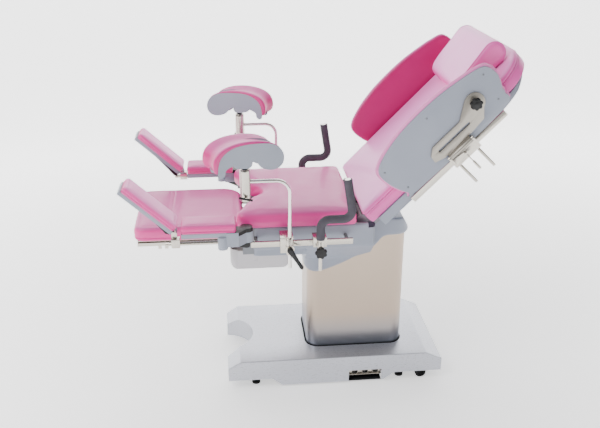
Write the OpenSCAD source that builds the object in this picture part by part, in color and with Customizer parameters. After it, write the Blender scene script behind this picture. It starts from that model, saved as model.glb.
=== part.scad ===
// Gynecological operating table with a lifting column, a hinged back, fold-out side wings,
// swinging leg supports with foot pads, knee crutches, hand grips, a pull-out table and a basin.
// Millimetres. The origin is the centre of the column on the floor, +X points to the head end,
// +Z is up, and -Y is the near side in the node names.

/* [Base] */
// Reach from the column centre to the foot-end tip of the base
base_foot_reach = 576; // [520:1:640]
// Reach from the column centre to the head-end tip of the base
base_head_reach = 397; // [360:1:440]
// Width of the base
base_w = 510; // [470:1:560]
// Height of the flat top of the base
base_top_z = 140; // [130:1:160]
// Height of the two end tips
base_tip_z = 105; // [90:1:120]
// Length of the sloped top at the foot end
base_foot_slope = 55; // [30:1:80]
// Length of the sloped top at the head end
base_head_slope = 74; // [40:1:90]
// Lower edge of the base at its two ends
base_edge_z = 43; // [35:1:55]
// Lower edge of the skirt between the feet
skirt_z = 8; // [6:1:20]
// Where the dropped skirt starts, towards the foot end
skirt_foot_x = -334; // [-360:1:-300]
// Where the dropped skirt ends, towards the head end
skirt_head_x = 131; // [125:1:150]
// Length of the sloped step at each end of the skirt
skirt_step = 46; // [30:1:60]
// Wall of the sheet covers
sheet = 3; // [2:0.5:4]
// Radius of the foot notch in the base
notch_r = 142; // [110:1:160]
// How far the notch centre lies beyond the foot-end tip
notch_out = 21; // [0:1:40]
// Position of the foot-end levelling feet
foot_x_foot = -451; // [-470:1:-420]
// Position of the head-end levelling feet
foot_x_head = 211; // [190:1:240]
// Distance of the feet from the sides of the base
foot_in = 50; // [43:1:57]
// Radius of a foot pad
foot_r = 19; // [15:1:24]
// Height of a foot pad
foot_h = 12; // [8:1:16]
// Radius of a foot screw
foot_screw_r = 6; // [4:1:8]
// Position of the transport wheels
wheel_x = 305; // [280:1:330]
// Radius of a transport wheel
wheel_r = 25; // [20:1:28]
// Width of a transport wheel
wheel_w = 18; // [12:1:24]
// Gap under the wheels while the table stands on its feet
wheel_lift = 2; // [1:1:5]
// Radius of the wheel axle
axle_r = 6; // [4:1:8]
// Width of a base frame tube
base_tube_w = 30; // [25:1:34]
// Height of a base frame tube
base_tube_h = 50; // [40:1:60]
// Thickness of the floor plate of the base frame
floor_plate_t = 8; // [6:1:10]
// Underside of the floor plate
floor_plate_z = 20; // [18:1:24]
// Half length of the floor plate
floor_plate_x = 224; // [224:1:230]

/* [Socket recess] */
// Start of the socket recess along the near side
socket_x = -31; // [-60:1:0]
// Length of the socket recess
socket_l = 150; // [130:1:160]
// Upper edge of the socket recess
socket_top_z = 66; // [60:1:80]
// Depth of the socket panel behind the side of the base
socket_depth = 14; // [10:1:20]
// Height of the socket panel
socket_panel_h = 26; // [22:1:30]
// Width of one socket
socket_w = 29; // [24:1:34]
// Height of one socket
socket_h = 16; // [12:1:18]
// How far a socket stands out of its panel
socket_out = 7; // [4:1:10]
// Depth of a socket behind the face of its panel
socket_back = 18; // [10:1:20]

/* [Column] */
// Width of the column shroud
column_w = 438; // [430:2:450]
// Centre of the column shells, from the axis of the lifting drive
column_x = 8; // [0:1:10]
// Depth of the column shroud across the table
column_d = 298; // [280:2:320]
// Corner radius of the column shroud
column_r = 55; // [40:1:70]
// Lower edge of the shroud
shroud_z = 125; // [122:1:128]
// Top of the shroud
shroud_top_z = 700; // [690:1:706]
// Gap between the inner column and the shroud
column_gap = 4; // [3:0.5:6]
// Wall of the inner column
inner_wall = 5; // [4:1:6]
// Top of the inner column
inner_top_z = 560; // [520:1:580]
// Height of the glide strips on the inner column
glide_h = 60; // [40:1:80]
// Width of a glide strip
glide_w = 60; // [40:1:80]
// Width of the gasket round the shroud
gasket_w = 6; // [4:1:8]
// Height of the gasket
gasket_h = 15; // [12:1:18]
// How far the gasket stands out of the base top
gasket_out = 3; // [2:1:5]
// Radius of the actuator motor
actuator_motor_r = 48; // [40:1:56]
// Height of the actuator motor
actuator_motor_h = 130; // [110:1:150]
// Radius of the actuator tube
actuator_tube_r = 32; // [28:1:36]
// Top of the actuator tube
actuator_top_z = 430; // [400:1:460]
// Radius of the actuator rod
lift_rod_r = 20; // [16:1:24]
// Lower end of the actuator rod
lift_rod_z = 160; // [150:1:180]

/* [Hull and table frame] */
// Half width of the hull under the seat
hull_y = 262; // [254:1:268]
// Bottom of the wide part of the hull
hull_z = 690; // [684:1:694]
// Half width of the lower part of the hull at the foot end
hull_low_y = 205; // [203:1:210]
// Lower edge of the hull at the foot end
hull_low_z = 635; // [630:1:640]
// Foot-end face of the hull
hull_foot_x = -454; // [-480:1:-440]
// Head end of the wide part of the hull
hull_head_x = 62; // [56:1:66]
// Wall of the hull
hull_wall = 4; // [3:0.5:5]
// Half width of the collar round the column
collar_y = 165; // [160:1:170]
// Half length of the collar round the column
collar_x = 233; // [232:1:238]
// Lower edge of the sloped head end of the collar
roof_z = 704; // [702:1:712]
// Lean of the sloped head end of the collar
roof_in = 48; // [30:1:52]
// Lowest edge of the collar
collar_z = 525; // [505:1:540]
// Lower edge of the collar at the head end
collar_tip_z = 692; // [688:1:697]
// Height where the funnel of the hull meets the collar
funnel_z = 600; // [585:1:620]
// Top of the collar behind the back hinge
collar_top_z = 771; // [768:1:773]
// Top of the table frame, which carries the seat
frame_top_z = 797; // [795:1:798]
// Thickness of the frame plates
plate_t = 10; // [9:1:11]
// Thickness of the seat pan
pan_t = 5; // [4:0.5:6]
// Width of the cross bars of the table frame
frame_bar_w = 20; // [16:1:24]
// Gap between the seat pan and the notch of the seat
pan_gap = 10; // [8:1:12]
// Foot-end face of the seat pan
pan_foot_x = -505; // [-508:1:-500]
// Head-end face of the seat pan
pan_head_x = -20; // [-24:1:-20]
// Inner face of the hinge cheeks, from the mid-plane
cheek_y = 196; // [190:1:198]
// Thickness of a hinge cheek
cheek_t = 12; // [10:1:12]
// Radius of the ends of the hinge cheeks and lugs
cheek_r = 20; // [16:1:21]
// Radius of the back hinge shaft
hinge_shaft_r = 10; // [8:1:11]

/* [Seat] */
// Head-end face of the seat cushion
seat_head_x = -18; // [-24:1:-16]
// Foot-end face of the seat cushion
seat_foot_x = -519; // [-526:1:-510]
// Width of the seat and back cushions
seat_w = 572; // [560:2:580]
// Thickness of the seat cushion at its edge
seat_t = 62; // [54:1:66]
// Crown of the seat cushion
seat_crown = 9; // [4:1:12]
// Radius of the notch in the foot end of the seat
seat_notch_r = 75; // [60:1:85]
// Distance of the notch centre from the foot-end corners
seat_notch_in = 44; // [30:1:55]
// Distance of the notch mouth from the foot-end corners
seat_notch_mouth = 67; // [64:1:70]
// Corner radius of the seat at the head end
seat_corner_r = 16; // [12:1:20]
// Corner radius of the seat at the foot end
seat_foot_r = 34; // [26:1:40]

/* [Back] */
// Height of the back hinge axis
hinge_z = 801; // [799:1:803]
// Position of the back hinge axis
hinge_x = 12; // [10:1:14]
// Incline of the back as drawn, degrees
back_angle = 45.5; // [40:0.5:48]
// Lower end of the back cushion, from the hinge
back_low = 27; // [26:1:34]
// Upper end of the back cushion, from the hinge
back_high = 918; // [880:1:940]
// Lower face of the back cushion, from the hinge
back_under = -20; // [-22:1:-18]
// Groove round the back cushion over its lower face
back_groove = 48; // [40:1:52]
// Thickness of the back cushion at its edge
back_t = 72; // [66:1:78]
// Crown of the back cushion
back_crown = 7; // [3:1:10]
// Corner radius of the back cushion at the head end
back_head_r = 165; // [120:1:200]
// Half width of the back shell
shell_y = 292; // [290:1:294]
// Depth of the back shell under the hinge line
shell_under = 62; // [58:1:64]
// Lower end of the back shell, from the hinge
shell_low = 60; // [58:1:70]
// Head end of the back shell, from the hinge
shell_high = 905; // [880:1:915]
// End of the pocket in the back shell, from the hinge
shell_pocket = 262; // [255:1:280]
// Half width of the pocket in the back shell
shell_pocket_y = 246; // [245:1:248]
// Lower end of the head pillow, from the hinge
pillow_low = 636; // [600:1:660]
// Centre of the round head end of the pillow, from the hinge
pillow_round = 845; // [820:1:850]
// Radius of the round head end of the pillow
pillow_r = 49; // [42:1:52]
// Thickness of the pillow at its lower end
pillow_t = 60; // [40:1:66]
// Half width of the pillow
pillow_y = 200; // [170:1:230]
// Skin of the back shell
shell_skin = 4; // [3:0.5:5]
// Height of the side beams in the back
back_beam_h = 28; // [24:1:30]
// Head end of the side beams, from the hinge
back_beam_high = 700; // [690:1:710]
// Gap under the round end of the pillow
pillow_lift = 4; // [3:1:6]
// Length of the rounded ends of the pillow
pillow_edge = 26; // [18:1:30]

/* [Side wings] */
// Lower end of a wing, from the hinge
wing_low = 195; // [180:1:210]
// Length of a wing
wing_l = 597; // [540:1:620]
// Height of a wing square to the back
wing_h = 232; // [200:1:240]
// Lower edge of a wing, from the hinge line
wing_under = -31; // [-32:1:-29]
// Inner face of a wing pad, from the mid-plane
wing_y = 300; // [298:1:302]
// Thickness of a wing pad
wing_pad_t = 22; // [16:1:24]
// Thickness of a wing panel
wing_panel_t = 8; // [6:1:9]
// Distance of the fold axis from the mid-plane
wing_axis_y = 351; // [350:1:353]
// Height of the fold axis, from the hinge line
wing_axis_up = -18; // [-19:1:-17]
// Position of the wing clamp on the back rail
wing_clamp_low = 431; // [420:1:440]
// Length of the wing clamp
wing_clamp_l = 131; // [120:1:140]
// Radius of the wing knob
wing_knob_r = 25; // [20:1:28]
// Position of the wing knob, from the hinge
wing_knob_a = 655; // [640:1:670]
// Height of the wing knob, from the hinge line
wing_knob_up = 76; // [66:1:84]
// Radius of the knuckle and ears of a wing hinge
wing_knuckle_r = 9; // [8:1:9]
// Width of an ear of the wing clamp
wing_ear_t = 10; // [8:1:12]
// Radius of the wing hinge rod
wing_rod_r = 5; // [4:1:6]
// Length of a pin under the wing clamp
wing_pin_l = 110; // [90:1:120]
// Radius of the thin rod of the clamp handle
handle_r = 2.5; // [2:0.5:3]
// Thickness of the bracket plate on a wing
bracket_t = 8; // [6:1:8]
// Height of the lower link of the bracket plate
bracket_rise = 30; // [26:1:34]
// Lower end of the slot in the bracket plate, from the hinge
slot_low = 431; // [428:1:440]
// Upper end of the slot in the bracket plate, from the hinge
slot_high = 585; // [560:1:590]
// Height of the slot over the hinge line
slot_up = 32; // [28:1:36]
// How far a wing pad stands past its panel
wing_margin = 11; // [8:1:14]
// Height of the heads of the wing screws
screw_h = 2.5; // [2:0.5:3]
// Thickness of the star knobs
knob_t = 18; // [14:1:22]
// Reach of the studs into knobs and levers
knob_reach = 10; // [8:1:12]

/* [Rails] */
// Height of the side rails, a standard section
rail_h = 25; // [25]
// Thickness of the side rails, a standard section
rail_t = 10; // [10]
// Inner face of a rail, from the mid-plane
rail_y = 318; // [316:1:320]
// Foot-end face of the seat rails
rail_foot_x = -462; // [-464:1:-450]
// Head-end face of the seat rails
rail_head_x = -43; // [-60:1:-30]
// Lower edge of the seat rails
rail_z = 736; // [732:1:740]
// Lower end of the back rails, from the hinge
back_rail_low = 216; // [200:1:230]
// Upper end of the back rails, from the hinge
back_rail_high = 716; // [700:1:730]
// Lower edge of the back rails, from the hinge line
back_rail_up = -62; // [-63:1:-61]
// Radius of a rail spacer
spacer_r = 8; // [6:1:10]
// Distance of the spacers from the ends of a rail
spacer_in = 22; // [18:1:26]

/* [Leg supports] */
// Position of the leg swing axis
leg_axis_x = -480; // [-484:1:-476]
// Distance of the leg swing axis from the mid-plane
leg_axis_y = 338; // [336:1:340]
// Radius of the leg swing bolt
leg_bolt_r = 9; // [7:1:11]
// Foot-end face of a leg cushion
leg_foot_x = -736; // [-745:1:-725]
// Head-end face of a leg cushion
leg_head_x = -522; // [-526:1:-520]
// Inner face of a leg cushion, from the mid-plane
leg_in_y = 292; // [290:1:296]
// Outer face of a leg cushion, from the mid-plane
leg_out_y = 402; // [396:1:408]
// Underside of the leg plate
leg_plate_z = 819; // [817:1:821]
// Thickness of the leg plate
leg_plate_t = 19; // [14:1:20]
// Thickness of a leg cushion at its edge
leg_t = 34; // [28:1:38]
// Distance of the foot bar from the mid-plane
foot_bar_y = 389; // [386:1:391]
// Height of the foot bar
foot_bar_z = 796; // [794:1:798]
// Radius of the foot bar
foot_bar_r = 8; // [7:1:9]
// Foot end of the foot bar
foot_bar_x = -800; // [-810:1:-790]
// Position of the foot pad hinge
pad_hinge_x = -764; // [-766:1:-762]
// Height of the foot pad hinge
pad_hinge_z = 836; // [834:1:838]
// Incline of the foot pads as drawn, degrees
pad_angle = 43; // [38:1:46]
// Length of a foot pad
pad_l = 256; // [230:1:270]
// Width of a foot pad
pad_w = 117; // [100:1:120]
// Thickness of the shell under a foot pad
pad_shell_t = 16; // [12:1:18]
// Thickness of a foot cushion at its edge
pad_t = 27; // [22:1:30]
// Radius of the eyes of the leg joint
leg_eye_r = 25; // [22:1:26]
// Underside of the leg eye on the table frame
leg_eye_z = 784; // [782:1:785]
// Height of the leg eye on the table frame
leg_eye_h = 22; // [20:1:22]
// Inner end of the leg bracket, from the mid-plane
leg_bracket_y = 228; // [227:1:232]
// Thickness of the lower fork of a leg arm
leg_fork_t = 6; // [5:1:7]
// Distance of the web of a leg arm from the swing axis
leg_web_far = 80; // [76:1:84]
// Gap between the web of a leg arm and the leg eye
leg_web_gap = 7; // [6:1:9]
// How far the plates lie inside their cushions
leg_margin = 4; // [3:1:6]
// Position of the round boss of a leg arm
leg_boss_x = -575; // [-580:1:-570]
// Radius of the round boss of a leg arm
leg_boss_r = 20; // [16:1:22]
// Lower end of the round boss of a leg arm
leg_boss_z = 767; // [762:1:774]
// Crown of the small cushions
leg_crown = 5; // [2:1:7]
// Length of a leg lever
leg_lever_l = 66; // [50:1:68]
// Turn of a leg lever as drawn, degrees
leg_lever_turn = 156; // [150:1:160]
// Thickness of the tip of a leg lever
lever_t = 14; // [12:1:16]
// Height of the hub of a leg lever
leg_lever_h = 30; // [24:1:34]
// Wall round the hubs of the levers
lever_wall = 7; // [5:1:7]
// Head end of the foot bar
foot_bar_head = -520; // [-524:1:-514]
// Radius of the ears of the foot pad hinge
pad_ear_r = 11; // [9:1:12]
// Radius of the pin of the foot pad hinge
pad_pin_r = 5; // [4:1:6]
// Thickness of the foot pad hinge's ear
ear_t = 12; // [10:1:14]
// Reach of the ear inwards from the foot bar
ear_back = 15; // [14:1:16]
// Length of the knuckle of the foot pad hinge
knuckle_l = 34; // [28:1:38]
// Width of the strut under a foot pad
strut_t = 12; // [10:1:16]
// Distance of a foot pad from its hinge
pad_start = 13; // [13:1:16]
// Top of a foot shell over its hinge
pad_rise = 9; // [8:1:10]

/* [Leg holders] */
// Position of the leg holder rods
holder_x = -309; // [-320:1:-300]
// Distance of the leg holder rods from the mid-plane
holder_y = 388; // [386:1:390]
// Radius of a leg holder rod
holder_r = 7.5; // [6.5:0.5:8]
// Lower end of a leg holder rod
holder_z = 668; // [650:1:680]
// Height of the level part of a holder rod
holder_top_z = 1047; // [1000:1:1080]
// Bend radius of a leg holder rod
holder_bend = 52; // [40:1:60]
// Position of the crutch hub
hub_x = -480; // [-490:1:-470]
// Radius of the crutch hub
hub_r = 21; // [18:1:24]
// Height of the crutch hub
hub_h = 134; // [120:1:140]
// Lower end of the crutch hub
hub_z = 967; // [950:1:980]
// Turn of the near crutch about its hub, in degrees
crutch_turn = 23; // [0:1:40]
// Length of a crutch
crutch_l = 268; // [240:1:290]
// Width of a crutch
crutch_w = 122; // [100:1:140]
// Rise of the crutch over its hub
crutch_rise = 124; // [110:1:135]
// Foot-end length of the leg holder clamp
holder_back = 37; // [30:1:44]
// Reach of the leg holder clamp under the rail
holder_lip = 4; // [3:1:6]
// Reach of the leg holder clamp over the rail
holder_over = 39; // [32:1:42]
// Height of the leg holder lever
lever_z = 757; // [752:1:770]
// Length of the leg holder lever
holder_lever_l = 88; // [70:1:90]
// Downward turn of the leg holder lever, degrees
holder_lever_turn = 59; // [45:1:70]
// Radius of the crutch post
crutch_post_r = 10; // [8:1:12]
// Length of the crutch post in its hub
crutch_post_l = 60; // [40:1:70]
// Width of the crutch shell
crutch_shell_w = 74; // [73:1:80]

/* [Hand grips] */
// Position of the hand grip posts
grip_x = -184; // [-190:1:-180]
// Distance of the hand grips from the mid-plane
grip_y = 381; // [379:1:384]
// Radius of the foam sleeve
grip_r = 17.5; // [15:0.5:19]
// Step between the straight and the bent foam sleeves
sleeve_step = 0.5; // [0.3:0.1:1]
// Radius of the grip post
grip_post_r = 7; // [6:0.5:8]
// Lower end of the grip post
grip_z = 648; // [640:1:660]
// Lower end of the foam sleeve
grip_foam_z = 786; // [780:1:790]
// Height of the level part of a hand grip
grip_level_z = 872; // [860:1:885]
// Length of the level part of a hand grip
grip_level_l = 131; // [115:1:140]
// Height of the top of a hand grip
grip_top_z = 1040; // [1000:1:1060]
// Backward lean of the top of a hand grip
grip_lean = 27; // [15:1:35]
// Bend radius of a hand grip
grip_bend = 36; // [32:1:42]
// Height of the grip knob
grip_knob_z = 737; // [734:1:745]
// Radius of the grip knob
grip_knob_r = 25; // [20:1:27]
// Width of the hand grip clamp
clamp_w = 55; // [50:1:60]

/* [Pull-out table and basin] */
// Foot-end face of the pull-out table
aux_foot_x = -943; // [-960:1:-930]
// Head-end face of the pull-out table
aux_head_x = -487; // [-495:1:-480]
// Half width of the pull-out table
aux_y = 224; // [216:1:226]
// Joint between the pull-out cushions
aux_joint_x = -792; // [-810:1:-780]
// Corner radius of these cushions at their joint
aux_joint_r = 6; // [4:1:10]
// Gap between these cushions
aux_joint_w = 6; // [4:1:10]
// Underside of the pull-out table's plate
aux_plate_z = 727; // [726:1:729]
// Thickness of the pull-out table's plate
aux_plate_t = 8; // [6:1:9]
// Thickness of the pull-out cushions at their edge
aux_t = 54; // [46:1:55]
// Foot-end face of the basin
basin_foot_x = -548; // [-560:1:-540]
// Head-end face of the basin
basin_head_x = -290; // [-300:1:-280]
// Half width of the basin
basin_y = 178; // [160:1:180]
// Underside of the basin
basin_z = 566; // [556:1:576]
// Rim of the basin
basin_rim_z = 658; // [655:1:660]
// Corner radius of the basin
basin_r = 32; // [20:1:40]
// Wall of the basin
basin_wall = 3; // [2:0.5:4]
// Width of the slides of the table
aux_slide_w = 14; // [12:1:14]
// Outer face of the slides, from the mid-plane
aux_slide_out = 223; // [222:1:223]
// Half width of the plate of the pull-out table
aux_plate_y = 214; // [210:1:215]
// Head end of the slides
aux_slide_head_x = -330; // [-340:1:-325]
// Crown of the pull-out cushions
aux_crown = 5; // [3:1:6]
// Corner radius of the pull-out cushion at the head end
aux_head_r = 90; // [60:1:110]
// Foot end of the channels for the slides
channel_foot_x = -450; // [-453:1:-440]
// Head end of the channels for the slides
channel_head_x = -60; // [-80:1:-50]
// Half width of the basin over its flanges
basin_flange_y = 189; // [187:1:190]
// Lower edge of the basin runners
runner_z = 646; // [642:1:648]

/* [Fits] */
// Clearance between sliding shrouds
slide_gap = 0.6; // [0.4:0.1:1]
// Radial clearance of a running fit
run_gap = 0.06; // [0.03:0.01:0.09]
// Gap between pieces that move past each other
side_gap = 0.6; // [0.4:0.1:1]
// Gap between the base frame and the wheels or the notch
frame_gap = 2; // [1:0.5:4]
// Gap under the back when it lies flat
relief_gap = 4; // [3:0.5:6]
// Radius of the studs that hold the knobs and levers
stud_r = 6; // [5:0.5:6.5]

/* [Hidden] */

// Overshoot of cutting shapes
cut = 1;
foot_y = base_w / 2 - foot_in;
neck_r = stud_r * 1.5;
collar_foot_x = column_x - collar_x;
collar_head_x = column_x + collar_x;
frame_low = shroud_top_z;
frame_side_y = hull_y - hull_wall;
hull_in_head = hull_head_x - hull_wall;
seat_y = seat_w / 2;
tube_top = base_edge_z + base_tube_h + cut;
tube_low = base_edge_z + cut;
floor_top = floor_plate_z + floor_plate_t;
wheel_in = foot_y + base_tube_w / 2 + frame_gap;
axle_z = wheel_r + wheel_lift;
shroud_in_w = column_w - 2 * sheet;
shroud_in_d = column_d - 2 * sheet;
inner_w = shroud_in_w - 2 * column_gap;
inner_d = shroud_in_d - 2 * column_gap;
inner_r = column_r - sheet - column_gap;
opening_w = column_w + 2 * (slide_gap + gasket_w);
opening_d = column_d + 2 * (slide_gap + gasket_w);
opening_r = column_r + slide_gap + gasket_w;
relief_x = hinge_x + cheek_r;
relief_z = hinge_z + back_under - relief_gap;
rail_mid_z = rail_z + rail_h / 2;
spacer_foot_x = rail_foot_x + spacer_in;
spacer_head_x = rail_head_x - spacer_in;
back_spacer_low = back_rail_low + spacer_in;
back_spacer_high = back_rail_high - spacer_in;
beam_in_y = shell_pocket_y - plate_t * 2.5;
seat_mouth_x = seat_foot_x + seat_notch_mouth;
seat_notch_x = seat_foot_x + seat_notch_in;
aux_slide_z = aux_plate_z - aux_slide_w;

// Box between two opposite corners
module block(low, high) {
	translate(low) cube([high[0] - low[0], high[1] - low[1], high[2] - low[2]]);
}

// Box across the mid-plane, from -y to +y
module cross_block(x_low, x_high, y, z_low, z_high) {
	block([x_low, -y, z_low], [x_high, y, z_high]);
}

// Pieces drawn on the far side, moved to the near side
module near_side() {
	mirror([0, 1, 0]) children();
}

// Pieces drawn on the far side, on both sides
module both_sides() {
	children();
	near_side() children();
}

// Rounded rectangle
module round_rect(w, d, r) {
	translate([r - w / 2, r - d / 2]) circle(r = r, $fn = 64);
	translate([w / 2 - r, r - d / 2]) circle(r = r, $fn = 64);
	translate([r - w / 2, d / 2 - r]) circle(r = r, $fn = 64);
	translate([w / 2 - r, d / 2 - r]) circle(r = r, $fn = 64);
	square([w - 2 * r, d], center = true);
	square([w, d - 2 * r], center = true);
}

// Upright prism of a rounded rectangle whose middle lies at x
module round_prism(x, w, d, r, z_low, z_high) {
	translate([x, 0, z_low]) linear_extrude(z_high - z_low) round_rect(w, d, r);
}

// Side view outline, drawn out across the table from y to y + t
module side_slab(y, t) {
	translate([0, y + t, 0]) rotate([90, 0, 0]) linear_extrude(t) children();
}

// Cylinder along the table from x_low to x_high
module rod_x(x_low, x_high, y, z, r) {
	translate([x_low, y, z]) rotate([0, 90, 0]) cylinder(h = x_high - x_low, r = r, $fn = 48);
}

// Cylinder across the table from y_low to y_high
module rod_y(x, y_low, y_high, z, r) {
	translate([x, y_high, z]) rotate([90, 0, 0]) cylinder(h = y_high - y_low, r = r, $fn = 48);
}

// Upright cylinder from z_low to z_high
module rod_z(x, y, z_low, z_high, r) {
	translate([x, y, z_low]) cylinder(h = z_high - z_low, r = r, $fn = 48);
}

// Frame of the back: length from the hinge, across, square to the back
module in_back() {
	translate([hinge_x, 0, hinge_z]) rotate([0, -back_angle, 0]) children();
}

// Star knob with its face away from the mid-plane
module star_knob(x, y, z, r, thick, lobes) {
	lobe_r = r * 0.24;
	rod_y(x, y, y + thick, z, r - lobe_r * 1.6);
	for (k = [0 : lobes - 1]) {
		turn = k * 360 / lobes;
		reach = r - lobe_r;
		rod_y(x + reach * cos(turn), y, y + thick, z + reach * sin(turn), lobe_r);
	}
}

// Points of an arc
function arc(centre, r, from, to, steps) =
	[for (k = [0 : steps])
		[centre[0] + r * cos(from + (to - from) * k / steps),
		centre[1] + r * sin(from + (to - from) * k / steps)]];

// Rectangle with its own radius at each corner, counter-clockwise from the low corner
function round_outline(low, high, radii, steps) =
	concat(
		arc([low[0] + radii[0], low[1] + radii[0]], radii[0], 180, 270, steps),
		arc([high[0] - radii[1], low[1] + radii[1]], radii[1], 270, 360, steps),
		arc([high[0] - radii[2], high[1] - radii[2]], radii[2], 0, 90, steps),
		arc([low[0] + radii[3], high[1] - radii[3]], radii[3], 90, 180, steps));

// Soft block: each level is a height, an inset from the outline and a share drawn to the middle
module soft_block(outline, middle, half, levels) {
	n = len(outline);
	rings = len(levels);
	ring_points = [for (level = levels) for (p = outline) [
		middle[0] + (p[0] - middle[0]) * (1 - level[1] / half[0]) * (1 - level[2]),
		middle[1] + (p[1] - middle[1]) * (1 - level[1] / half[1]) * (1 - level[2]),
		level[0]]];
	caps = [[middle[0], middle[1], levels[0][0]], [middle[0], middle[1], levels[rings - 1][0]]];
	sides = [for (i = [0 : rings - 2]) for (j = [0 : n - 1]) for (half_face = [0, 1])
		half_face == 0
			? [i * n + j, (i + 1) * n + (j + 1) % n, i * n + (j + 1) % n]
			: [i * n + j, (i + 1) * n + j, (i + 1) * n + (j + 1) % n]];
	lower = [for (j = [0 : n - 1]) [rings * n, j, (j + 1) % n]];
	upper = [for (j = [0 : n - 1])
		[rings * n + 1, (rings - 1) * n + (j + 1) % n, (rings - 1) * n + j]];
	polyhedron(points = concat(ring_points, caps), faces = concat(sides, lower, upper));
}

// Levels of a cushion from its lower face: a drawn-in foot, a seam line, a rounded edge and a crown
function cushion_levels(z, t, crown, seam) = [
	[z, t * 0.05, 0],
	[z + t * 0.06, 0, 0],
	[z + t * (seam - 0.03), 0, 0],
	[z + t * seam, t * 0.05, 0],
	[z + t * (seam + 0.05), t * 0.01, 0],
	[z + t * 0.86, t * 0.03, 0],
	[z + t * 0.96, t * 0.12, 0],
	[z + t, t * 0.24, 0],
	[z + t + crown * 0.6, t * 0.5, 0.08],
	[z + t + crown, t * 0.5, 0.3]];

// Side view of the base cover
module base_side(wall) {
	polygon([
		[wall - base_foot_reach, wall > 0 ? -cut : base_edge_z],
		[wall - base_foot_reach, base_tip_z - wall],
		[wall - base_foot_reach + base_foot_slope, base_top_z - wall],
		[base_head_reach - base_head_slope - wall, base_top_z - wall],
		[base_head_reach - wall, base_tip_z - wall],
		[base_head_reach - wall, wall > 0 ? -cut : base_edge_z],
		[skirt_head_x + skirt_step, wall > 0 ? -cut : base_edge_z],
		[skirt_head_x, wall > 0 ? -cut : skirt_z],
		[skirt_foot_x, wall > 0 ? -cut : skirt_z],
		[skirt_foot_x - skirt_step, wall > 0 ? -cut : base_edge_z]]);
}

module base_cover() {
	notch_x = -base_foot_reach - notch_out;
	color("silver") difference() {
		union() {
			difference() {
				side_slab(-base_w / 2, base_w) base_side(0);
				side_slab(sheet - base_w / 2, base_w - 2 * sheet) base_side(sheet);
			}
			intersection() {
				side_slab(-base_w / 2, base_w) base_side(0);
				rod_z(notch_x, 0, base_edge_z, base_top_z, notch_r + sheet);
			}
		}
		translate([notch_x, 0, -cut]) cylinder(h = base_top_z + 2 * cut, r = notch_r, $fn = 96);
		round_prism(column_x, opening_w, opening_d, opening_r, base_tip_z, base_top_z + cut);
		block([socket_x, -base_w / 2 - cut, 0], [socket_x + socket_l, cut - foot_y, socket_top_z]);
	}
}

module base_frame() {
	tube_in = foot_y - base_tube_w / 2;
	tube_out = foot_y + base_tube_w / 2;
	tube_foot = foot_x_foot - 2 * foot_r;
	tube_head = wheel_x + 2 * wheel_r - foot_r;
	post_x = floor_plate_x + base_tube_w;
	notch_end = notch_r + sheet - base_foot_reach - notch_out;
	color("dimgray") {
		cross_block(-floor_plate_x, floor_plate_x, tube_in, floor_plate_z, floor_top);
		cross_block(notch_end + frame_gap, foot_x_foot + 2 * foot_r, tube_in, tube_low, tube_top);
		cross_block(post_x, post_x + base_tube_w, tube_in, tube_low, tube_top);
		both_sides() {
			block([tube_foot, tube_in, tube_low], [tube_head, tube_out, tube_top]);
			block([-floor_plate_x, tube_in - cut, floor_plate_z],
				[skirt_head_x, tube_in + plate_t, tube_top]);
			for (x = [-post_x - base_tube_w, post_x])
				block([x, tube_in, tube_top], [x + base_tube_w, tube_out, base_top_z - sheet]);
			difference() {
				block([wheel_x - 2 * axle_r, foot_y, axle_z - 2 * axle_r],
					[wheel_x + 2 * axle_r, foot_y + plate_t, tube_low]);
				rod_y(wheel_x, foot_y - cut, foot_y + plate_t + cut, axle_z, axle_r + run_gap);
			}
		}
	}
}

module inner_column() {
	strip = column_gap - slide_gap;
	depth = strip + inner_wall / 2;
	color("gray") {
		difference() {
			round_prism(column_x, inner_w, inner_d, inner_r, floor_top, inner_top_z);
			round_prism(column_x, inner_w - 2 * inner_wall, inner_d - 2 * inner_wall, inner_r - inner_wall,
						floor_top - cut, inner_top_z + cut);
		}
		for (side = [-1, 1]) {
			translate([column_x + side * (inner_w / 2 + strip - depth / 2), 0, inner_top_z - glide_h / 2])
				cube([depth, glide_w, glide_h], center = true);
			translate([column_x, side * (inner_d / 2 + strip - depth / 2), inner_top_z - glide_h / 2])
				cube([glide_w, depth, glide_h], center = true);
		}
	}
}

module column_gasket() {
	color("black") difference() {
		round_prism(column_x, opening_w, opening_d, opening_r, base_top_z + gasket_out - gasket_h,
					base_top_z + gasket_out);
		round_prism(column_x, column_w + 2 * slide_gap, column_d + 2 * slide_gap, column_r + slide_gap,
					base_top_z - gasket_h - cut, base_top_z + gasket_out + cut);
	}
}

module lift_actuator() {
	color("dimgray") difference() {
		union() {
			rod_z(0, 0, floor_top, floor_top + actuator_motor_h, actuator_motor_r);
			rod_z(0, 0, floor_top, actuator_top_z, actuator_tube_r);
		}
		rod_z(0, 0, floor_top + actuator_tube_r, actuator_top_z + cut, lift_rod_r + run_gap);
	}
}

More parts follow.
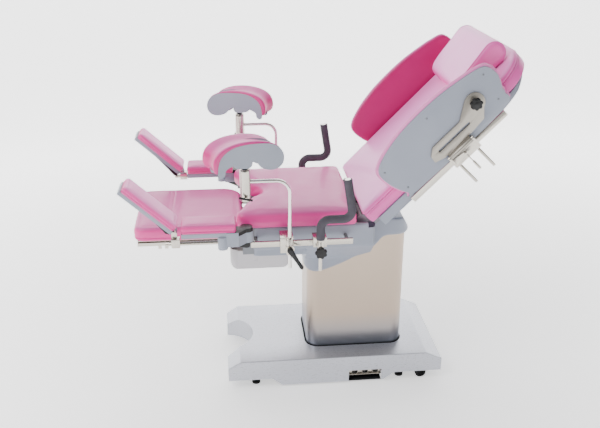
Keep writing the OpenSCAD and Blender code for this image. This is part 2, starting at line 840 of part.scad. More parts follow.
module socket_panel() {
	back_y = base_w / 2 - socket_depth;
	frame_y = base_w / 2 - sheet;
	low_z = socket_top_z - socket_panel_h;
	pitch = socket_l / 3.2;
	z = socket_top_z - socket_h * 0.8;
	places = [for (k = [-1, 0, 1]) socket_x + socket_l / 2 + k * pitch];
	near_side() color("dimgray") difference() {
		union() {
			block([socket_x, back_y - sheet, low_z], [socket_x + socket_l, back_y, socket_top_z]);
			block([socket_x - sheet, back_y - sheet, socket_top_z],
				[socket_x + socket_l + sheet, frame_y, socket_top_z + sheet]);
			for (x = [socket_x - sheet, socket_x + socket_l])
				block([x, back_y - sheet, low_z], [x + sheet, frame_y, socket_top_z + sheet]);
			for (x = places)
				block([x - socket_w / 2, back_y - socket_back, z - socket_h / 2],
					[x + socket_w / 2, back_y + socket_out, z + socket_h / 2]);
		}
		for (x = places)
			block([x - socket_w * 0.36, back_y + sheet - socket_back, z - socket_h * 0.3],
				[x + socket_w * 0.36, back_y + socket_out + cut, z + socket_h * 0.3]);
	}
}

module levelling_feet() {
	color("black") both_sides() for (x = [foot_x_foot, foot_x_head]) {
		rod_z(x, foot_y, 0, foot_h, foot_r);
		rod_z(x, foot_y, foot_h, tube_low, foot_screw_r);
	}
}

module wheel_set() {
	color("black") {
		rod_y(wheel_x, -wheel_in, wheel_in, axle_z, axle_r);
		both_sides() difference() {
			rod_y(wheel_x, wheel_in, wheel_in + wheel_w, axle_z, wheel_r);
			rod_y(wheel_x, wheel_in + wheel_w * 0.8, wheel_in + wheel_w + cut, axle_z, wheel_r * 0.6);
		}
	}
}

module column_shroud() {
	color("lightgray") difference() {
		round_prism(column_x, column_w, column_d, column_r, shroud_z, shroud_top_z);
		round_prism(column_x, shroud_in_w, shroud_in_d, column_r - sheet, shroud_z - cut, shroud_top_z + cut);
	}
}

module lift_rod() {
	color("silver") rod_z(0, 0, lift_rod_z, frame_low, lift_rod_r);
}

// Lower outline of the collar, as shares of its half length and of its rise
collar_shares = [
	[-1.02, 0.12], [-0.96, 0.04], [-0.86, 0], [-0.75, 0.01], [-0.55, 0.1], [-0.3, 0.24],
	[0.02, 0.46], [0.3, 0.68], [0.4, 0.84], [0.46, 0.95], [0.54, 0.99], [0.9, 1], [1.02, 1.07]];

// Side view of the collar
module collar_side() {
	rise = collar_tip_z - collar_z;
	polygon(concat(
		[for (p = collar_shares) [column_x + p[0] * collar_x, collar_z + p[1] * rise]],
		[[collar_head_x + cut, roof_z], [collar_head_x - roof_in, frame_top_z],
		[collar_foot_x - cut, frame_top_z]]));
}

// Form of the hull, or of its hollow when a wall is given
module hull_form(wall) {
	open = wall > 0 ? cut : 0;
	top = frame_top_z + open;
	cross_block(hull_foot_x - open, hull_head_x - wall, hull_y - wall, hull_z + wall, top);
	cross_block(hull_foot_x - open, collar_foot_x + wall, hull_low_y - wall,
				hull_low_z - open, hull_z + wall + open);
	intersection() {
		union() {
			round_prism(column_x, 2 * (collar_x - wall), 2 * (collar_y - wall), collar_y * 0.4 - wall,
						collar_z - cut - open, collar_top_z - wall);
			translate([collar_foot_x, 0, 0]) rotate([90, 0, 90])
				linear_extrude(hull_head_x - collar_foot_x - wall)
					polygon([[collar_y - wall, funnel_z], [hull_y - wall, hull_z + wall + open],
							[wall - hull_y, hull_z + wall + open], [wall - collar_y, funnel_z]]);
		}
		if (wall == 0)
			side_slab(-hull_y, 2 * hull_y) collar_side();
		else
			side_slab(-hull_y, 2 * hull_y) polygon([
				[collar_foot_x + wall, 0], [collar_head_x - wall, 0], [collar_head_x - wall, roof_z],
				[collar_head_x - roof_in - wall, frame_top_z], [collar_foot_x + wall, frame_top_z]]);
	}
}

module hull_cover() {
	tube_z = hinge_z - shell_under - cut;
	color("lightsteelblue") difference() {
		hull_form(0);
		hull_form(hull_wall);
		cross_block(hull_head_x - hull_wall - cut, hull_head_x + cut, shell_pocket_y,
					tube_z, frame_top_z + cut);
		cross_block(relief_x, hull_head_x + cut, hull_y + cut, relief_z, frame_top_z + cut);
		for (x = [spacer_foot_x, spacer_head_x])
			rod_y(x, -hull_y - cut, hull_y + cut, rail_mid_z, spacer_r + side_gap);
	}
}

module table_frame() {
	channel_in = aux_slide_out + side_gap;
	channel_out = channel_in + plate_t / 2;
	channel_low = aux_slide_z - side_gap;
	channel_top = aux_plate_z + side_gap;
	runner_x = hull_foot_x - frame_bar_w * 2;
	lug_foot = hinge_x - cheek_r;
	lug_head = hinge_x + cheek_r;
	color("gray") {
		round_prism(column_x, column_w, column_d, column_r, frame_low, frame_low + plate_t);
		cross_block(collar_foot_x + frame_bar_w, hull_in_head, frame_side_y, frame_low,
			frame_low + plate_t);
		cross_block(hull_foot_x, hull_foot_x + frame_bar_w, frame_side_y, frame_low, frame_low + plate_t);
		cross_block(collar_foot_x - frame_bar_w, collar_foot_x, frame_side_y, frame_low,
			frame_low + plate_t);
		difference() {
			translate([0, 0, frame_top_z]) linear_extrude(pan_t) polygon([
				[pan_head_x, -frame_side_y], [pan_head_x, frame_side_y],
				[pan_foot_x, frame_side_y], [pan_foot_x, frame_side_y - frame_bar_w],
				[seat_mouth_x + pan_gap, seat_notch_mouth + pan_gap],
				[seat_mouth_x + pan_gap, -seat_notch_mouth - pan_gap],
				[pan_foot_x, frame_bar_w - frame_side_y], [pan_foot_x, -frame_side_y]]);
			rod_z(seat_notch_x, 0, frame_top_z - cut, frame_top_z + pan_t + cut,
				seat_notch_r + pan_gap);
		}
		both_sides() {
			block([hull_foot_x, frame_side_y - plate_t, frame_low],
				[relief_x, frame_side_y, frame_top_z]);
			block([relief_x, frame_side_y - plate_t, frame_low],
				[hull_in_head, frame_side_y, relief_z]);
			difference() {
				union() {
					block([lug_foot, cheek_y, frame_low], [lug_head, cheek_y + cheek_t, hinge_z]);
					rod_y(hinge_x, cheek_y, cheek_y + cheek_t, hinge_z, cheek_r);
				}
				rod_y(hinge_x, cheek_y - cut, cheek_y + cheek_t + cut, hinge_z, hinge_shaft_r + run_gap);
			}
			difference() {
				union() {
					block([leg_axis_x - leg_eye_r + leg_margin, leg_bracket_y, leg_eye_z],
						[leg_axis_x + leg_eye_r - leg_margin, leg_axis_y, frame_top_z]);
					rod_z(leg_axis_x, leg_axis_y, leg_eye_z, leg_eye_z + leg_eye_h, leg_eye_r);
				}
				rod_z(leg_axis_x, leg_axis_y, leg_eye_z - cut, leg_eye_z + leg_eye_h + cut,
					leg_bolt_r + run_gap);
			}
			block([channel_foot_x, channel_in, channel_low - plate_t / 2],
				[channel_head_x, channel_out, channel_top + plate_t / 2]);
			block([channel_foot_x, channel_in - plate_t, channel_low - plate_t / 2],
				[channel_head_x, channel_in, channel_low]);
			block([channel_foot_x, aux_slide_out - plate_t / 2, channel_top],
				[channel_head_x, channel_in, channel_top + plate_t / 2]);
			for (x = [channel_foot_x, channel_head_x - frame_bar_w])
				block([x, channel_out, channel_low - plate_t / 2],
					[x + frame_bar_w, frame_side_y - plate_t, channel_top]);
			difference() {
				block([runner_x, basin_y + basin_wall, runner_z],
					[collar_foot_x, hull_low_y - hull_wall - side_gap, frame_low]);
				block([runner_x - cut, basin_y, basin_rim_z - basin_wall - side_gap],
					[collar_foot_x + cut, basin_flange_y + side_gap, basin_rim_z + side_gap]);
			}
		}
	}
}

// Slanted foot edge of the seat, as shares of the notch mouth and of its half width
seat_slant_shares = [0.59, 0.52];
// Half turn of the notch and turn of the foot corners, in degrees
notch_turn = 69;
slant_turn = 80;

// Seat cushion with slanted foot corners and the round notch between them
seat_outline = concat(
	arc([seat_head_x - seat_corner_r, -seat_y + seat_corner_r], seat_corner_r, 270, 360, 5),
	[for (k = [-3 : 3]) [seat_head_x, k * seat_y / 5]],
	arc([seat_head_x - seat_corner_r, seat_y - seat_corner_r], seat_corner_r, 0, 90, 5),
	[for (k = [1 : 4]) [seat_head_x + (seat_foot_x - seat_head_x) * k / 5, seat_y]],
	arc([seat_foot_x + seat_foot_r, seat_y - seat_foot_r], seat_foot_r, 90, 90 + slant_turn, 5),
	[[seat_foot_x + seat_notch_mouth * seat_slant_shares[0], seat_y * seat_slant_shares[1]]],
	arc([seat_notch_x, 0], seat_notch_r, notch_turn, -notch_turn, 12),
	[[seat_foot_x + seat_notch_mouth * seat_slant_shares[0], -seat_y * seat_slant_shares[1]]],
	arc([seat_foot_x + seat_foot_r, -seat_y + seat_foot_r], seat_foot_r, 270 - slant_turn, 270, 5),
	[for (k = [4 : -1 : 1]) [seat_head_x + (seat_foot_x - seat_head_x) * k / 5, -seat_y]]);

module seat_cushion() {
	color("pink") soft_block(
		seat_outline, [(seat_head_x + seat_notch_x + seat_notch_r) * 0.62, 0],
		[(seat_head_x - seat_foot_x) / 2, seat_y],
		cushion_levels(frame_top_z + pan_t, seat_t, seat_crown, 0.22));
}

module seat_rails() {
	color("silver") both_sides() {
		block([rail_foot_x, rail_y, rail_z], [rail_head_x, rail_y + rail_t, rail_z + rail_h]);
		for (x = [spacer_foot_x, spacer_head_x])
			rod_y(x, frame_side_y, rail_y, rail_mid_z, spacer_r);
	}
}

module back_gearmotor() {
	box_top = collar_top_z - hull_wall - side_gap;
	color("dimgray") difference() {
		union() {
			cross_block(hinge_x - 2 * cheek_r, hinge_x + 4 * cheek_r, cheek_y / 2,
						frame_low + plate_t, box_top);
			cross_block(hinge_x - cheek_r, hinge_x + cheek_r, cheek_y / 3, box_top, hinge_z);
			rod_y(hinge_x, -cheek_y / 3, cheek_y / 3, hinge_z, cheek_r);
		}
		rod_y(hinge_x, -cheek_y, cheek_y, hinge_z, hinge_shaft_r + run_gap);
	}
}

module grip_clamps() {
	boss_r = grip_post_r * 2;
	color("silver") both_sides() difference() {
		union() {
			block([grip_x - clamp_w / 2, rail_y - rail_t, rail_z + rail_t],
				[grip_x + clamp_w / 2, grip_y - boss_r, grip_foam_z - side_gap]);
			block([grip_x - boss_r, grip_y - boss_r - cut, rail_z + rail_t],
				[grip_x + boss_r, grip_y, grip_foam_z - side_gap]);
			rod_z(grip_x, grip_y, rail_z - rail_t, grip_foam_z - side_gap, boss_r);
			rod_y(grip_x, grip_y + grip_post_r + cut, grip_y + boss_r + knob_reach, grip_knob_z, stud_r);
		}
		block([grip_x - clamp_w, rail_y, rail_z], [grip_x + clamp_w, rail_y + rail_t, rail_z + rail_h]);
		rod_z(grip_x, grip_y, rail_z - 2 * rail_t, grip_foam_z, grip_post_r + run_gap);
	}
}

module back_frame() {
	beam_y = shell_pocket_y - plate_t / 2;
	beam_in = beam_y - 2 * plate_t;
	beam_low = back_under - shell_skin - back_beam_h;
	beam_top = back_under - shell_skin;
	lug_y = cheek_y + cheek_t + side_gap;
	lug_t = plate_t * 1.5;
	color("gray") in_back() {
		rod_y(0, -lug_y - lug_t, lug_y + lug_t, 0, hinge_shaft_r);
		both_sides() {
			rod_y(0, lug_y, lug_y + lug_t, 0, cheek_r);
			side_slab(lug_y + cut, lug_t - cut)
				polygon([[0, -cheek_r * 0.8], [back_low, beam_low + cut], [3 * back_low, beam_low + cut],
						[3 * back_low, beam_top - cut], [back_low - 2 * side_gap, beam_top - cut],
						[cheek_r * 0.8, 0], [0, 0]]);
			block([back_low, beam_in, beam_low], [back_beam_high, beam_y, beam_top]);
		}
		for (a = [shell_pocket + plate_t, back_beam_high / 1.5, back_beam_high - 3 * plate_t])
			cross_block(a, a + 2 * plate_t, beam_in, beam_low, beam_top);
	}
}

// Plan of the back between a and the rounded head end
module back_plan(y, head, r, a_low) {
	translate([head - r, r - y]) circle(r = r, $fn = 96);
	translate([head - r, y - r]) circle(r = r, $fn = 96);
	translate([a_low, -y]) square([head - r - a_low, 2 * y]);
	translate([a_low, r - y]) square([head - a_low, 2 * (y - r)]);
}

// Side view of the back shell
module shell_side(skin) {
	polygon([
		[shell_low + skin, skin - shell_under], [back_beam_high, skin - shell_under],
		[back_beam_high + shell_under / 3 - skin, skin - shell_under * 0.8],
		[shell_high - shell_under * 1.5 - skin, skin - shell_under * 0.63],
		[shell_high - shell_under / 2 - skin, back_under - skin],
		[shell_low + skin, back_under - skin]]);
}

module back_shell() {
	beam_top = back_under - shell_skin;
	color("lightsteelblue") in_back() difference() {
		intersection() {
			side_slab(-shell_y, 2 * shell_y) shell_side(0);
			translate([0, 0, -shell_under]) linear_extrude(shell_under)
				back_plan(shell_y, shell_high, back_head_r, 0);
		}
		intersection() {
			side_slab(shell_skin - shell_y, 2 * (shell_y - shell_skin)) shell_side(shell_skin);
			translate([0, 0, -shell_under]) linear_extrude(shell_under)
				back_plan(shell_y - shell_skin, shell_high - shell_skin, back_head_r - shell_skin,
						shell_pocket + shell_skin);
		}
		cross_block(0, shell_pocket, shell_pocket_y, -shell_under - cut, beam_top);
		both_sides() {
			block([shell_low + shell_skin, shell_pocket_y + shell_skin, shell_skin - shell_under],
				[shell_pocket + 2 * shell_skin, shell_y - shell_skin, beam_top]);
			block([shell_pocket - cut, beam_in_y, back_under - shell_skin - back_beam_h],
				[shell_pocket + 2 * shell_skin, shell_pocket_y - plate_t / 2, beam_top]);
			for (a = [back_spacer_low, back_spacer_high])
				rod_y(a, shell_pocket_y - cut, shell_y + cut, back_rail_up + rail_h / 2,
					spacer_r + side_gap);
		}
	}
}

module back_cushion() {
	color("pink") in_back() soft_block(
		round_outline([back_low, -seat_y], [back_high, seat_y],
					[seat_corner_r, back_head_r, back_head_r, seat_corner_r], 11),
		[(back_low + back_high) / 2, 0], [(back_high - back_low) / 2, seat_y],
		cushion_levels(back_under, back_t, back_crown, back_groove / back_t));
}

// Start and end of the pillow's round end, in degrees
pillow_turn = [250, 460];

module head_pillow() {
	top = back_under + back_t + back_crown;
	steps = 10;
	outline = concat(
		[[pillow_low, top], [pillow_low + pillow_t * 1.5, top], [pillow_round - pillow_r, top]],
		arc([pillow_round, top + pillow_r + pillow_lift], pillow_r, pillow_turn[0], pillow_turn[1], 3 * steps),
		[[pillow_round - pillow_t, top + 2 * pillow_r - pillow_t * 0.1],
		[pillow_low + pillow_t, top + pillow_t * 1.3],
		[pillow_low + pillow_t * 0.3, top + pillow_t * 1.12], [pillow_low, top + pillow_t * 0.9]]);
	color("pink") in_back() translate([0, pillow_y, 0]) rotate([90, 0, 0]) soft_block(
		outline, [(pillow_low + pillow_round + pillow_r) / 2, top + pillow_t * 0.7],
		[(pillow_round + pillow_r - pillow_low) / 2, pillow_t * 0.8],
		[[0, pillow_r * 0.5, 0], [pillow_edge * 0.15, pillow_r * 0.2, 0],
		[pillow_edge * 0.5, pillow_r * 0.06, 0], [pillow_edge, 0, 0],
		[2 * pillow_y - pillow_edge, 0, 0], [2 * pillow_y - pillow_edge * 0.5, pillow_r * 0.06, 0],
		[2 * pillow_y - pillow_edge * 0.15, pillow_r * 0.2, 0], [2 * pillow_y, pillow_r * 0.5, 0]]);
}

module back_rails() {
	color("silver") in_back() both_sides() {
		block([back_rail_low, rail_y, back_rail_up],
			[back_rail_high, rail_y + rail_t, back_rail_up + rail_h]);
		for (a = [back_spacer_low, back_spacer_high])
			rod_y(a, shell_pocket_y - plate_t / 2, rail_y, back_rail_up + rail_h / 2, spacer_r);
	}
}

// Outline of a wing, as shares of its length and height
wing_shares = [
	[0.109, 0], [0.868, 0], [0.956, 0.22], [0.96, 0.293], [0.997, 0.547], [0.973, 0.789],
	[0.886, 0.875], [0.789, 0.927], [0.642, 0.983], [0.482, 1], [0.307, 0.983], [0.134, 0.901],
	[0.012, 0.75], [0.002, 0.44], [0.05, 0.091]];

// Outline of the bracket plate, as shares of the wing
bracket_shares = [
	[0.39, 0.108], [0.611, 0.108], [0.745, 0.142], [0.832, 0.401], [0.732, 0.616],
	[0.615, 0.401], [0.374, 0.401], [0.325, 0.289], [0.32, 0.168]];

// Places of the wing screws, as shares of the wing
screw_shares = [[0.037, 0.668], [0.075, 0.168], [0.481, 0.849], [0.928, 0.711], [0.894, 0.203]];

// Outline of a wing from shares, grown outwards by a margin
module wing_shape(shares, margin) {
	polygon([for (p = shares) [
		wing_low + p[0] * wing_l + margin * (2 * p[0] - 1),
		wing_under + p[1] * (wing_h + margin)]]);
}

module wing_clamp() {
	face_y = wing_axis_y - wing_knuckle_r * 2 / 3;
	clamp_mid = wing_clamp_low + wing_clamp_l / 2;
	clamp_low = back_rail_up - rail_t;
	clamp_high = wing_under - 2 * side_gap;
	color("silver") in_back() {
		difference() {
			block([wing_clamp_low, rail_y - rail_t + 3 * side_gap, clamp_low],
				[wing_clamp_low + wing_clamp_l, face_y, clamp_high]);
			block([wing_clamp_low - cut, rail_y - side_gap, back_rail_up - side_gap],
				[wing_clamp_low + wing_clamp_l + cut, rail_y + rail_t + side_gap,
				back_rail_up + rail_h + side_gap]);
		}
		for (a = [wing_clamp_low, wing_clamp_low + wing_clamp_l - wing_ear_t]) {
			rod_x(a, a + wing_ear_t, wing_axis_y, wing_axis_up, wing_knuckle_r);
			block([a, face_y - cut, clamp_low + rail_t],
				[a + wing_ear_t, wing_axis_y + wing_knuckle_r, wing_axis_up]);
		}
		rod_x(wing_clamp_low, wing_clamp_low + wing_clamp_l, wing_axis_y, wing_axis_up, wing_rod_r);
		for (a = [wing_clamp_low + 2 * wing_knuckle_r, wing_clamp_low + wing_clamp_l - 2 * wing_knuckle_r]) {
			rod_z(a, rail_y + rail_t, clamp_low - rail_t, clamp_low, wing_rod_r);
			rod_z(a, rail_y + rail_t, clamp_low - wing_pin_l, clamp_low - rail_t, stud_r);
		}
		rod_y(clamp_mid, face_y - cut, face_y + 2 * wing_rod_r, clamp_low + rail_h, wing_rod_r);
		rod_z(clamp_mid, face_y + wing_rod_r, clamp_low - wing_pin_l * 0.6, clamp_low + rail_h, handle_r);
		rod_z(clamp_mid, face_y + wing_rod_r, clamp_low - wing_pin_l * 0.6, clamp_low - rail_h,
			wing_rod_r);
	}
}

module wing_bracket() {
	plate_y = wing_y + wing_pad_t + wing_panel_t;
	link_low = wing_axis_up - wing_knuckle_r;
	knuckle_low = wing_clamp_low + wing_ear_t + side_gap;
	knuckle_high = wing_clamp_low + wing_clamp_l - wing_ear_t - side_gap;
	slot_r = stud_r - cut;
	color("silver") in_back() difference() {
		union() {
			side_slab(plate_y, bracket_t) difference() {
				union() {
					wing_shape(bracket_shares, 0);
					translate([wing_knob_a, wing_knob_up]) circle(r = wing_knob_r * 1.65, $fn = 96);
					translate([knuckle_low, link_low])
						square([knuckle_high - knuckle_low, bracket_rise]);
				}
				for (a = [slot_low, slot_high]) translate([a, slot_up]) circle(r = slot_r, $fn = 32);
				translate([slot_low, slot_up - slot_r]) square([slot_high - slot_low, 2 * slot_r]);
			}
			block([knuckle_low, plate_y, link_low],
				[knuckle_high, wing_axis_y, wing_axis_up + wing_knuckle_r]);
			rod_x(knuckle_low, knuckle_high, wing_axis_y, wing_axis_up, wing_knuckle_r);
			rod_y(wing_knob_a, plate_y, plate_y + bracket_t + knob_reach * 1.5, wing_knob_up, stud_r);
		}
		rod_x(knuckle_low - cut, knuckle_high + cut, wing_axis_y, wing_axis_up, wing_rod_r + run_gap);
	}
}

module wing_panel() {
	panel_y = wing_y + wing_pad_t;
	color("lightsteelblue") in_back() {
		side_slab(panel_y, wing_panel_t) wing_shape(wing_shares, 0);
		for (p = screw_shares)
			rod_y(wing_low + p[0] * wing_l, panel_y + wing_panel_t, panel_y + wing_panel_t + screw_h,
				wing_under + p[1] * wing_h, neck_r / 2);
	}
}

module wing_pad() {
	color("pink") in_back() side_slab(wing_y, wing_pad_t) wing_shape(wing_shares, wing_margin);
}

module wing_knob() {
	face = wing_y + wing_pad_t + wing_panel_t + bracket_t + side_gap;
	color("black") in_back() difference() {
		union() {
			rod_y(wing_knob_a, face, face + knob_reach, wing_knob_up, neck_r);
			star_knob(wing_knob_a, face + knob_reach, wing_knob_up, wing_knob_r, knob_t, 7);
		}
		rod_y(wing_knob_a, face - cut, face + knob_reach * 1.6, wing_knob_up, stud_r + run_gap);
	}
}

module leg_arm() {
	fork_top = leg_eye_z + leg_eye_h + side_gap;
	fork_low = leg_eye_z - side_gap - leg_fork_t;
	plate_top = leg_plate_z + leg_plate_t;
	cover_r = leg_eye_r + leg_margin;
	web_foot = leg_axis_x - leg_web_far;
	web_head = leg_axis_x - leg_eye_r - leg_web_gap;
	inner_y = leg_in_y + leg_margin;
	outer_y = leg_out_y - leg_margin;
	color("lightsteelblue") difference() {
		union() {
			block([leg_foot_x, inner_y, leg_plate_z],
				[leg_head_x, outer_y, plate_top]);
			block([web_foot, leg_axis_y - leg_margin, fork_low], [web_head, leg_out_y, plate_top]);
			rod_z(leg_boss_x, foot_bar_y, leg_boss_z, leg_plate_z, leg_boss_r);
			for (z = [[fork_low, leg_eye_z - side_gap], [fork_top, plate_top]]) {
				rod_z(leg_axis_x, leg_axis_y, z[0], z[1], leg_eye_r);
				block([web_head - cut, leg_axis_y - leg_margin, z[0]],
					[leg_axis_x, leg_axis_y + leg_eye_r, z[1]]);
			}
			difference() {
				translate([0, 0, fork_low]) linear_extrude(plate_top - fork_low) difference() {
					union() {
						translate([leg_axis_x, leg_axis_y]) circle(r = cover_r, $fn = 96);
						polygon([[web_head - cut, leg_axis_y], [leg_axis_x, leg_axis_y],
							[leg_axis_x, leg_axis_y + cover_r], [web_head - cut, leg_out_y]]);
					}
					translate([web_head - 2 * cut, leg_axis_y - 2 * cover_r])
						square([4 * cover_r, 2 * cover_r + leg_eye_r / 2]);
				}
				rod_z(leg_axis_x, leg_axis_y, leg_eye_z - side_gap, fork_top, leg_eye_r + side_gap);
			}
			rod_z(leg_axis_x, leg_axis_y, fork_low - lever_t * 0.6, leg_plate_z, leg_bolt_r);
		}
		rod_x(leg_foot_x, web_head + cut, foot_bar_y, foot_bar_z, foot_bar_r + run_gap);
	}
}

module leg_cushion() {
	z = leg_plate_z + leg_plate_t;
	color("pink") soft_block(
		round_outline([leg_foot_x, leg_in_y], [leg_head_x, leg_out_y],
					[seat_corner_r, seat_corner_r, seat_corner_r, seat_corner_r] / 2, 5),
		[(leg_foot_x + leg_head_x) / 2, (leg_in_y + leg_out_y) / 2],
		[(leg_head_x - leg_foot_x) / 2, (leg_out_y - leg_in_y) / 2],
		cushion_levels(z, leg_t, leg_crown, 0.25));
}

// Lever arm, from its hub to its rounded tip, in its own plane
module lever_shape(length, hub, tip) {
	circle(r = hub, $fn = 64);
	translate([length, 0]) circle(r = tip, $fn = 48);
	polygon([[0, -hub], [length, -tip], [length, tip], [0, hub]]);
}

module leg_lever() {
	top = leg_eye_z - 2 * side_gap - leg_fork_t;
	hub = leg_bolt_r + lever_wall;
	end = leg_lever_l + hub;
	color("black") translate([leg_axis_x, leg_axis_y, top]) difference() {
		rotate([0, 0, leg_lever_turn]) intersection() {
			translate([0, 0, -leg_lever_h]) linear_extrude(leg_lever_h)
				lever_shape(leg_lever_l, hub, lever_wall);
			side_slab(-2 * hub, 4 * hub)
				polygon([[-end, cut], [-end, -leg_lever_h - cut], [hub, -leg_lever_h - cut],
					[end, -lever_t * 0.6], [end, cut]]);
		}
		translate([0, 0, -lever_t * 0.7]) cylinder(h = lever_t, r = leg_bolt_r + run_gap, $fn = 48);
	}
}

module foot_bar() {
	ear_y = foot_bar_y - ear_back;
	bracket_z = foot_bar_z - foot_bar_r * 1.5;
	color("silver") {
		rod_x(foot_bar_x, foot_bar_head, foot_bar_y, foot_bar_z, foot_bar_r);
		block([pad_hinge_x - pad_ear_r, foot_bar_y - 2 * foot_bar_r, bracket_z],
			[pad_hinge_x + 2 * pad_ear_r, foot_bar_y + 2 * foot_bar_r, foot_bar_z + 3 * foot_bar_r]);
		block([pad_hinge_x - pad_ear_r, ear_y, foot_bar_z], [pad_hinge_x + pad_ear_r, ear_y + ear_t,
			pad_hinge_z]);
		rod_y(pad_hinge_x, ear_y, ear_y + ear_t, pad_hinge_z, pad_ear_r);
		rod_y(pad_hinge_x, ear_y - knuckle_l - side_gap, ear_y + ear_t, pad_hinge_z, pad_pin_r);
	}
}

// Frame of a foot pad: length from the hinge, across, square to the pad
module in_foot_pad() {
	translate([pad_hinge_x, 0, pad_hinge_z]) rotate([0, pad_angle, 0]) children();
}

module foot_shell() {
	ear_y = foot_bar_y - ear_back;
	near_end = -pad_start;
	far_end = -pad_start - pad_l;
	low_y = leg_out_y - pad_w;
	color("lightsteelblue") in_foot_pad() difference() {
		union() {
			block([far_end - leg_margin, low_y + leg_margin, pad_rise - pad_shell_t],
				[near_end, leg_out_y - leg_margin, pad_rise]);
			side_slab(ear_y - knuckle_l - side_gap, strut_t)
				polygon([[0, -pad_ear_r], [0, pad_ear_r], [near_end - cut, pad_rise - pad_shell_t / 2],
						[far_end / 2, pad_rise - pad_shell_t], [far_end / 2, -pad_ear_r],
						[near_end, -2.5 * pad_ear_r]]);
			rod_y(0, ear_y - knuckle_l - side_gap, ear_y - side_gap, 0, pad_ear_r);
		}
		rod_y(0, low_y, ear_y + cut, 0, pad_pin_r + run_gap);
	}
}

module foot_cushion() {
	low_y = leg_out_y - pad_w;
	radii = [seat_corner_r, seat_corner_r, seat_corner_r, seat_corner_r] * 0.7;
	color("pink") in_foot_pad() soft_block(
		round_outline([-pad_start - pad_l, low_y], [-pad_start, leg_out_y], radii, 5),
		[-pad_start - pad_l / 2, leg_out_y - pad_w / 2], [pad_l / 2, pad_w / 2],
		cushion_levels(pad_rise, pad_t, leg_crown, 0.3));
}

module holder_clamp() {
	boss_r = 2 * holder_r;
	low = rail_z - holder_lip;
	high = rail_z + rail_h + holder_over;
	head = holder_x + boss_r;
	color("silver") difference() {
		union() {
			block([holder_x - holder_back, rail_y - rail_t, low], [head, holder_y - holder_r, high]);
			rod_z(holder_x, holder_y, low, high, boss_r);
			rod_y(holder_x, holder_y + holder_r + cut, holder_y + boss_r, lever_z, boss_r * 1.2);
			rod_y(holder_x, holder_y + boss_r - cut, holder_y + boss_r + knob_reach, lever_z, stud_r);
		}
		block([holder_x - holder_back - cut, rail_y - side_gap, rail_z - side_gap],
			[head + cut, rail_y + rail_t + side_gap, rail_z + rail_h + side_gap]);
		rod_z(holder_x, holder_y, low - cut, high + cut, holder_r + run_gap);
	}
}

module holder_lever() {
	face = holder_y + 2 * holder_r + side_gap;
	color("black") difference() {
		translate([holder_x, face + 2 * knob_reach, lever_z]) rotate([90, 0, 0])
			linear_extrude(2 * knob_reach) rotate([0, 0, -holder_lever_turn])
				lever_shape(holder_lever_l, stud_r + lever_wall, lever_wall * 1.2);
		rod_y(holder_x, face - cut, face + knob_reach, lever_z, stud_r + run_gap);
	}
}

// Bent tube in the side view
module bend(r, tube_r, start, turn) {
	rotate([90, 0, 0]) rotate([0, 0, start]) rotate_extrude(angle = turn, $fn = 96)
		translate([r, 0]) circle(r = tube_r, $fn = 48);
}

module holder_rod() {
	color("silver") difference() {
		union() {
			rod_z(holder_x, holder_y, holder_z, holder_top_z - holder_bend, holder_r);
			translate([holder_x - holder_bend, holder_y, holder_top_z - holder_bend])
				bend(holder_bend, holder_r, 0, 90);
			rod_x(hub_x, holder_x - holder_bend, holder_y, holder_top_z, holder_r);
			rod_z(hub_x, holder_y, hub_z, hub_z + hub_h, hub_r);
			rod_y(hub_x, holder_y, holder_y + hub_r + 2 * knob_reach, hub_z + hub_r, stud_r);
		}
		rod_z(hub_x, holder_y, hub_z + hub_h - crutch_post_l, hub_z + hub_h + cut,
			crutch_post_r + run_gap);
	}
}

// Outline of the crutch shell, as shares of its length and rise
crutch_shell_shares = [
	[-0.474, 0.09], [-0.451, 0.45], [-0.369, 0.68], [-0.21, 0.82], [0.03, 0.84], [0.273, 0.78],
	[0.405, 0.65], [0.471, 0.46], [0.478, 0.25], [0.419, 0.1], [0.318, 0.07], [0.202, 0.145],
	[0.138, 0.27], [0.106, 0.4], [-0.007, 0.405], [-0.017, 0.29], [-0.058, 0.24], [-0.218, 0.3],
	[-0.264, 0.4], [-0.408, 0.27], [-0.435, 0.09]];

// Outline of the crutch cushion, as shares of its length and rise
crutch_cushion_shares = [
	[-0.45, 0.11], [-0.375, 0.42], [-0.15, 0.48], [0.08, 0.52], [0.28, 0.42], [0.42, 0.2],
	[0.465, 0.3], [0.49, 0.5], [0.455, 0.68], [0.377, 0.8], [0.243, 0.92], [0.075, 0.985],
	[-0.116, 1], [-0.295, 0.95], [-0.45, 0.82], [-0.535, 0.62], [-0.562, 0.35], [-0.53, 0.1]];

function crutch_points(shares) =
	[for (p = shares) [p[0] * crutch_l, hub_z + hub_h + p[1] * crutch_rise]];

module crutch_shell() {
	hub_top = hub_z + hub_h;
	color("lightsteelblue") {
		side_slab(-crutch_w / 2, crutch_shell_w) polygon(crutch_points(crutch_shell_shares));
		rod_z(0, 0, hub_top - crutch_post_l + side_gap, hub_top + crutch_rise * 0.5, crutch_post_r);
		rod_z(0, 0, hub_top + side_gap, hub_top + crutch_rise * 0.42, crutch_post_r * 1.3);
	}
}

module crutch_cushion() {
	color("pink") difference() {
		side_slab(-crutch_w / 2, crutch_w) polygon(crutch_points(crutch_cushion_shares));
		side_slab(-crutch_w / 2 - cut, crutch_shell_w + cut)
			polygon(crutch_points(crutch_shell_shares));
	}
}

// Crutch pieces drawn round their own post, placed on each side
module near_crutch() {
	translate([hub_x, -holder_y, 0]) rotate([0, 0, crutch_turn]) children();
}

module far_crutch() {
	translate([hub_x, holder_y, 0]) rotate([0, 0, -crutch_turn]) mirror([1, 0, 0]) children();
}

